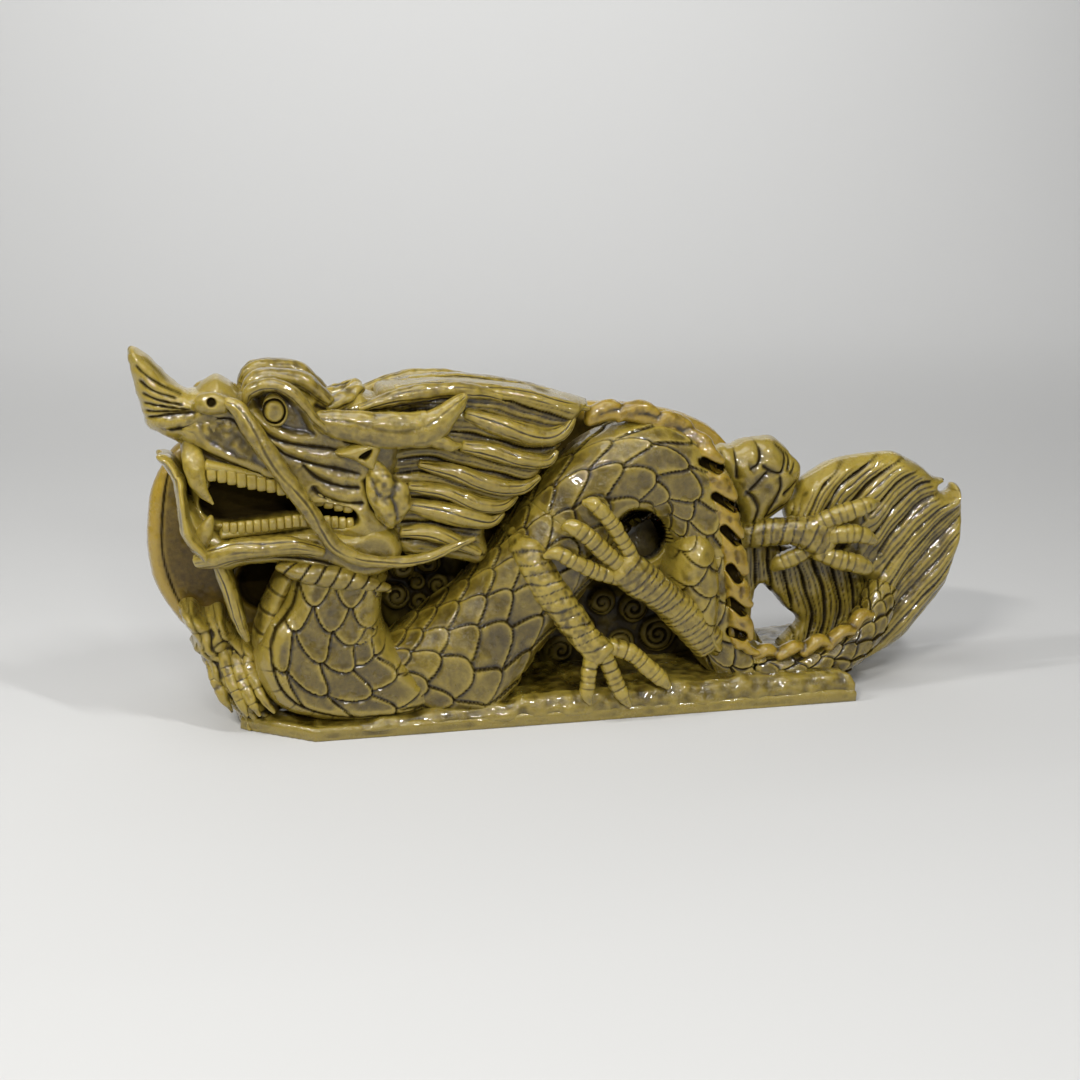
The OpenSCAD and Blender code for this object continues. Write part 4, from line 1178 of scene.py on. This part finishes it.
def make_head():
    piece("skull", roughen(relief(on(-8, SKULL_SHAPE), -8, head_front, cell=0.42), 0.22, 6))

    def tip(q, d):
        t = np.interp(q[:, 0], [-136, -128, -115, -100], [4.5, 8, 10.5, 12])
        cut, wide = cuts(q, -14, TIP_CUTS, 0.45, 1.4)
        return dome(d, 6.5, 1) * t - step(0, 1.5, d) * (0.5 * cut + 0.5 * wide), cut * step(0, 1.5, d)

    piece("snout_tip", roughen(relief(on(-8, TIP_SHAPE), -8, tip, cell=0.42), 0.3, 3.5), slot="jade_ridge")

    def jaw(q, d):
        cut, wide = cuts(q, -21, JAW_CUTS, 0.5, 1.6)
        t = np.interp(q[:, 0], [-120, -100, -60], [11, 14, 17])
        return dome(d, 4.5, 1) * t - 0.5 * cut - 0.6 * wide, cut

    piece("lower_jaw", roughen(relief(on(-14, JAW_SHAPE), -8, jaw, cell=0.42), 0.25, 6))
    lips = both(combed(LIP_FRONT, 6, 0.25)).joined(both(combed(LIP_ROLL, 8, 0.3)))
    piece("chin_flame", roughen(lips, 0.2, 5), slot="jade_ridge")
    lobe = tube(strand(NOSTRIL), 0.3, 60)[0]
    near = np.hypot(*(lobe.v[:, [0, 2]] - on(-24, [[-109.5, 45.5]])).T)
    drill = (1 - step(1.0, 1.7, near)) * (lobe.normals()[:, 1] < -0.2)
    lobe.v[:, 1] += 2.2 * drill
    # painted shade in the nostril hole
    lobe.darken(drill)
    piece("nostrils", both(roughen(lobe, 0.15, 3)))
    piece("brow_ridges", both(roughen(combed(NEAR_BROW, 6, 0.15).joined(combed(TOP_BROW, 6, 0.2)), 0.2, 4)))
    piece("crown_crest", both(roughen(combed(CURL, 6, 0.3), 0.3, 3)), slot="jade_ridge")
    tufts = remeshed(together([tube(strand(r), 0.4)[0] for r in CHEEK_ROWS]), 0.42, 5)
    piece("cheek_tufts", both(roughen(tufts, 0.45, 3.6)), slot="jade_ridge")

    def ear(q, d):
        hollow = within(q, -27, EAR_HOLLOW, 0.9)
        # painted shade in the ear's hollow
        return dome(d, 2.5, 4) - 2.8 * hollow, hollow

    near_ear = roughen(relief(on(-26, NEAR_EAR), -23.5, ear, plain(2.5, 3), 0.3), 0.15, 4)
    piece("ears", both(near_ear), slot="jade_ridge")
    horn = combed(NEAR_HORN, 7, 0.22).joined(combed(FAR_BAND, 6, 0.3))
    piece("horns", both(roughen(horn, 0.3, 5)), slot="jade_ridge")
    for name, rows, count, depth, amount, size in (
        ("horn_tines", TINE, 5, 0.2, 0.2, 4),
        ("whiskers", WHISKER, 4, 0.22, 0.15, 6),
        ("beard", BEARD, 6, 0.4, 0.2, 5),
    ):
        piece(name, both(roughen(combed(rows, count, depth), amount, size)), slot="jade_ridge")

    def eye(q, d):
        x, z = on(-25, [[-88.5, 42.5]])[0]
        r = np.hypot((q[:, 0] - x) / 0.92, q[:, 1] - z)
        ring = bump(r - 3.6, 0.42)
        return dome(d, 2, 2.2) + 1.0 * dome(3.4 - r, 3.0, 1) - 1.3 * ring, ring

    near_eye = roughen(relief(on(-25, EYE_SHAPE), -21.5, eye, plain(2, 2), 0.22), 0.05, 3)
    piece("eyes", both(near_eye), slot="jade_ridge")


MANE_SHAPE = xy(
    -53.5,49.5, -43.5,51.5, -33.5,52.5, -20,52, -6.5,50.5, 6.5,48, 17.5,45.5, 16,43.5, 12,38, 7.5,31.5, 2.5,24.5,
    -2,18.5, -8.5,12.5, -13.5,7.5, -17.5,2.5, -16.5,-4, -20.5,-8.5, -33.5,-6.5, -45,-5.5, -51.5,3.5, -51.5,20,
    -53.5,36.5,
)
MANE_GUIDES = [
    xy(-48.5,52.5, -33.5,53.5, -20,53, -6.5,51, 6.5,48.5, 18.5,46.5),
    xy(-48.5,45.5, -33.5,47.5, -20,47, -8.5,45.5, 3.5,42, 13.5,38.5),
    xy(-48.5,42, -33.5,44, -21.5,42.5, -8.5,38.5, 3.5,36.5, 10.5,38),
    xy(-48.5,34.5, -33.5,36.5, -23.5,35.5, -10,32, 0,30.5, 7.5,31.5),
    xy(-48.5,30.5, -36.5,32.5, -25,30, -11.5,26, 0,24.5, 4.5,26.5),
    xy(-48.5,26.5, -36.5,27.5, -25,24.5, -11.5,21.5, -3.5,20, 2,22.5),
    xy(-48.5,22, -36.5,22.5, -25,20, -13.5,16.5, -5,15.5, 0,18.5),
    xy(-48.5,18, -36.5,18, -25,14.5, -13.5,11.5, -8.5,11.5, -4,15.5),
    xy(-48.5,14.5, -36.5,13, -25,10, -16.5,8, -10.5,8, -7.5,11.5),
    xy(-48.5,5.5, -36.5,6, -26.5,4.5, -18.5,3.5, -13.5,4.5, -10,8),
    xy(-48.5,0, -36.5,0, -25,-2.5, -18.5,-5.5, -13.5,-6.5), xy(-48.5,-5.5, -36.5,-5.5, -25,-8.5, -16.5,-11.5),
]


MANE_SWELL = np.array([0.3, -0.9, 0.8, -0.3, 0.6, -0.4, 0.7, -0.2, 0.7, -0.3, 0.4, 0.2])
LOCKS = (
    (path(
        -24.5,42,-19,2.2,3, -15,38.5,-21,3.2,3.6, -5,35.5,-21,3.3,3.6, 2.5,34.5,-20,3,3.4, 8,36.5,-19,2.4,2.8,
        11,40.5,-18,1,1.4,
    ), 7),
    (path(
        -25.5,31.5,-20,2,3, -16.5,29.5,-21,2.8,3.4, -6.5,27,-21,2.8,3.4, 2,26.5,-20,2.2,2.8, 5.5,29.5,-19,1,1.4,
    ), 6),
    (path(
        -40,25.5,-20,1.6,3, -28.5,22.5,-21.5,2.6,3.4, -16.5,18.5,-21.5,2.8,3.4, -6.5,17.5,-20.5,2.4,3,
        -0.5,21,-19,1,1.4,
    ), 6),
    (path(
        -43.5,18,-20,1.6,3, -31.5,16,-21.5,2.4,3.4, -20,12,-21.5,2.6,3.4, -12.5,11.5,-20.5,2,2.6,
        -8,14.5,-19,0.9,1.2,
    ), 6),
    (path(
        -44.5,12,-20.5,2,3, -33.5,9.5,-22,3.4,3.6, -23.5,7.5,-22,3.4,3.6, -16.5,6.5,-21,2.4,2.8,
        -12.5,9,-20,1,1.2,
    ), 7),
    (path(-46,3,-20.5,1.8,3, -36.5,2.5,-22,2.6,3.4, -28,-0.5,-22,2.4,3.2, -20.5,-4,-21,1.4,2), 6),
    (path(
        -48,49.5,-14,2,4, -33.5,50.5,-15,2.8,4.6, -20,50,-15.5,2.8,4.6, -6.5,48,-16,2.8,4.4, 5.5,45.5,-16,2.4,4,
        16,44,-15,1,1.6,
    ), 8),
)


def make_mane():
    guides = [on(-20, g) for g in MANE_GUIDES]

    def mane(q, d):
        p, along = family(q, guides)
        h, wax_and_shade = hair(p, along, 0.7, 1.5)
        lift = MANE_SWELL[np.clip(np.floor(p).astype(int), 0, 11)] * (1 - wave(p) ** 4)
        # painted shade: the whole core is darkened, so the gaps between the locks read dark
        return dome(d, 4, 10.5) + h + lift, np.clip(np.maximum(wax_and_shade, 0.24), 0, 1)

    plate = relief(on(-17, MANE_SHAPE), -8, mane, mane, 0.42)
    piece("mane_core", roughen(plate, 0.2, 6))
    locks = together([combed(rows, count, 0.5) for rows, count in LOCKS])
    piece("mane_locks", roughen(both(locks), 0.18, 6), slot="jade_ridge")


FAN_SHAPE = xy(
    85.5,14.5, 86.5,18.5, 91.5,22, 98.5,26, 107.5,28, 117.5,29, 122.5,27.5, 128.5,24, 132.5,20.5, 136.5,19.5,
    133.5,17.5, 134.5,15.5, 137.5,16, 138.5,18.5, 141,17, 141.5,10.5, 141,2.5, 139,-6.5, 135.5,-15.5, 129.5,-23.5,
    120.5,-33.5, 110.5,-39.5, 104,-42.5, 102,-36.5, 107.5,-30, 110.5,-22.5, 108.5,-13.5, 98.5,-8.5, 87.5,-5.5,
    83.5,3.5, 82,10.5,
)
FAN_GUIDES = [
    xy(83.5,6.5, 86.5,14.5, 89.5,20.5, 92,23.5), xy(88,6.5, 91.5,14, 96,20.5, 102,26, 107.5,28.5),
    xy(94,8, 98,15.5, 104,22, 111.5,26.5, 116.5,29), xy(101.5,9.5, 106.5,16.5, 114,23.5, 121.5,26.5, 126.5,26),
    xy(109.5,9.5, 114.5,16, 121.5,21.5, 128,23.5, 133.5,22),
    xy(111.5,2.5, 118,11.5, 125.5,17.5, 132.5,19.5, 138.5,19.5), xy(113.5,-4, 120,6, 128,13.5, 135.5,15.5, 142,16),
    xy(114.5,-10.5, 121.5,0, 130,8.5, 137.5,12.5, 142.5,14), xy(114.5,-18, 121.5,-6.5, 130.5,3.5, 138.5,10, 142.5,12),
    xy(112.5,-26, 120.5,-14, 130,-2.5, 138.5,6, 142.5,9.5), xy(110.5,-32, 120,-20.5, 130,-8.5, 138.5,1.5, 142.5,4.5),
    xy(109.5,-36.5, 120,-26, 130,-15.5, 138,-5.5, 142,-0.5),
    xy(107.5,-40.5, 120,-31.5, 130,-20.5, 137.5,-12, 141.5,-6),
    xy(105.5,-44, 118.5,-36, 130,-25.5, 137.5,-17.5, 142,-10.5),
]
CURTAIN = xy(
    66,-2.5, 70.5,0, 80,-1.5, 86.5,-3.5, 96.5,-5.5, 110.5,-8.5, 112.5,-20, 110.5,-28.5, 102,-33.5, 94,-36.5,
    85.5,-37.5, 79.5,-35.5, 82.5,-31.5, 86.5,-27, 82,-22.5, 77.5,-17.5, 73.5,-15, 71.5,-20, 71,-26, 72.5,-30.5,
    74.5,-34.5, 70.5,-36.5, 67.5,-33.5, 66,-20,
)
CURTAIN_GUIDES = [
    xy(68,-36.5, 67.5,-23.5, 66.5,-10, 66.5,0), xy(72.5,-36, 72,-23.5, 71.5,-13.5, 71.5,0),
    xy(80.5,-33.5, 79.5,-24, 76.5,-15, 75.5,0), xy(84,-35.5, 84.5,-26.5, 82,-16.5, 80,-1.5),
    xy(87.5,-36, 90.5,-26.5, 88,-16.5, 84.5,-3.5), xy(91.5,-36, 94.5,-25.5, 93.5,-16, 90,-4),
    xy(96,-35.5, 99.5,-24, 98.5,-16, 95.5,-5.5), xy(101,-33.5, 104,-24, 103.5,-16, 101.5,-6.5),
    xy(105.5,-31.5, 108.5,-23.5, 108.5,-16, 106.5,-7.5), xy(110.5,-30, 113.5,-22.5, 114,-16, 112,-7.5),
]


def make_tail_tuft():
    guides = [on(-3, g) for g in FAN_GUIDES]
    trough = on(-3, [[107.5, 12.5]])

    def fan(q, d):
        p = family(q, guides)[0]
        along = q @ np.array([0.75, 0.66])
        near = 1 - step(6, 30, np.hypot(*(q - trough).T))
        h, wax_and_shade = hair(p, along, 2.0, 1.35)
        sway = 1.2 * np.sin(p * 1.9 + along * 0.05)
        h = dome(d, 5, 5.5) + (h * (0.85 + 0.7 * near) + sway) * step(0, 3, d)
        # painted shadow: the cuts darken more towards the deep trough of the fan
        return h, np.clip(wax_and_shade, 0, 1) * (0.5 + 0.5 * near) * step(0, 0.8, d)

    piece("tail_fan", roughen(relief(on(-1, FAN_SHAPE), 3, fan, fan, 0.42), 0.22, 6), slot="jade_ridge")
    inner = [on(2, g) for g in CURTAIN_GUIDES]

    def curtain(q, d):
        p, along = family(q, inner)
        h, wax_and_shade = hair(p, along, 1.0, 1.5)
        return dome(d, 2.5, 3.5) + 1.2 * h, np.clip(wax_and_shade + 0.12, 0, 1)

    piece("tail_hair", roughen(relief(on(2, CURTAIN), 6, curtain, plain(3, 2.5)), 0.2, 5))


FANGS = [
    path(
        -116.5,32,-12,2.6,3, -115.5,26,-17.5,3.6,2.8, -114.5,20.5,-19.5,3,2.2, -112.5,16,-20,1.9,1.6,
        -109,12,-20,0.5,0.5,
    ),
    path(-113.5,-2.5,-17,3.4,3.2, -112,2,-19.5,2.8,2.6, -110.5,5.5,-20,1.8,1.8, -109.5,8,-19.5,0.6,0.7),
]


def make_teeth():
    rows = (
        ("upper_teeth", xy(-111,22.5, -100,20.5, -90,18.5, -82,16.5, -72.5,13.5, -62.5,11.5), 15, -1),
        ("lower_teeth", xy(-106,3.5, -96.5,4.5, -86.5,6, -78.5,7, -70.5,6.5, -62,6), 17, 1),
    )
    for name, line, count, up in rows:
        c = dense(on(-20.5, line), 0.2)
        made = []
        for j in range(count):
            f = (j + 0.5) / count
            x, z = c[int(f * (len(c) - 1))]
            y = -19 - 2.2 * math.sin(math.pi * min(f * 1.3, 1) * 0.6)
            half = 0.5 * 0.2 * len(c) / count * 0.96
            tall = (3.1 if up < 0 else 2.1) - 0.9 * f + 0.3 * math.sin(5 * j)
            root, neck = [x, y, z - up * 1.6, 1.07 * half, 1.5], [x, y - 0.3, z + up * 0.25 * tall, 1.07 * half, 1.6]
            crown = [x, y, z + up * 0.7 * tall, half, 1.3]
            made.append(both(tube([root, neck, crown], 0.25, 28, (0.2, 0.25), power=0.6)[0]))
        ridge = [[p[0], -18.4, p[1] - up * 1.9, 1.7, 2.6] for p in c[:: len(c) // 7]]
        made.append(both(tube(ridge, 0.4, 30)[0]))
        piece(name, together(made), slot="jade_ridge")
    fangs = [both(roughen(tube(strand(rows), 0.3, 50)[0], 0.15, 3)) for rows in FANGS]
    piece("fangs", together(fangs), slot="jade_ridge")


# ---------------------------------------------------------------- studio

PAPER = (0.575, 0.575, 0.568, 1)  # the sheet that is floor and wall: it lies flat, bends and goes up
PAPER_FRONT, PAPER_BEND, BEND_RADIUS, PAPER_TOP, PAPER_SIDE = -1600, 700, 500, 2600, 2600.0


def add_studio():
    scene = bpy.context.scene
    scene.view_settings.view_transform = "Standard"
    paint = bpy.data.materials.new("studio_floor")
    paint.use_nodes = True
    b = paint.node_tree.nodes["Principled BSDF"]
    setup(b, {"Base Color": PAPER, "Roughness": 0.9, "Specular IOR Level": 0.1})
    a = np.linspace(0, math.pi / 2, 40)
    y = np.concatenate([[PAPER_FRONT], PAPER_BEND + BEND_RADIUS * np.sin(a), [PAPER_BEND + BEND_RADIUS]])
    z = np.concatenate([[0], BEND_RADIUS - BEND_RADIUS * np.cos(a), [PAPER_TOP]])
    v = np.array([[x, yy, zz] for yy, zz in zip(y, z) for x in (-PAPER_SIDE, PAPER_SIDE)]) * MM
    f = [[2 * i, 2 * i + 1, 2 * i + 3, 2 * i + 2] for i in range(len(y) - 1)]
    mesh = bpy.data.meshes.new("sweep")
    mesh.from_pydata(v.tolist(), [], f)
    mesh.polygons.foreach_set("use_smooth", np.ones(len(f), bool))
    mesh.materials.append(paint)
    sweep = bpy.data.objects.new("sweep", mesh)
    scene.collection.objects.link(sweep)
    world = bpy.data.worlds.new("studio")
    world.use_nodes = True
    setup(world.node_tree.nodes["Background"], {"Color": (0.96, 0.97, 1.0, 1), "Strength": 0.09})
    scene.world = world

    def lamp(name, at, size, power, colour=(1, 1, 1), aim_at=(0, 0, 50)):
        data = bpy.data.lights.new(name, "AREA")
        data.shape, data.size, data.size_y = "RECTANGLE", size[0] * MM, size[1] * MM
        data.energy, data.color = power, colour
        o = bpy.data.objects.new(name, data)
        scene.collection.objects.link(o)
        o.location = np.array(at) * MM
        aim = Vector(aim_at) * MM - o.location
        o.rotation_euler = aim.to_track_quat("-Z", "Y").to_euler()

    lamp("top_soft", (-150, -80, 900), (420, 420), 1.8)
    lamp("key", (-380, -600, 640), (190, 26), 3.5, (1, 0.98, 0.94))
    lamp("spark", (240, -420, 700), (24, 160), 2.1)
    lamp("glint", (-60, -760, 420), (150, 12), 1.5)
    lamp("rim", (-500, -60, 520), (20, 200), 1.6)
    lamp("fill", (500, -900, 300), (400, 400), 0.3)
    lamp("wall", (200, 850, 750), (1400, 300), 5.7, (1, 1, 1), (200, 1200, 100))


add_camera()
make_ground()
make_back()
make_body()
make_fins()
make_legs()
make_mane()
make_head()
make_teeth()
make_tail_tuft()
add_studio()
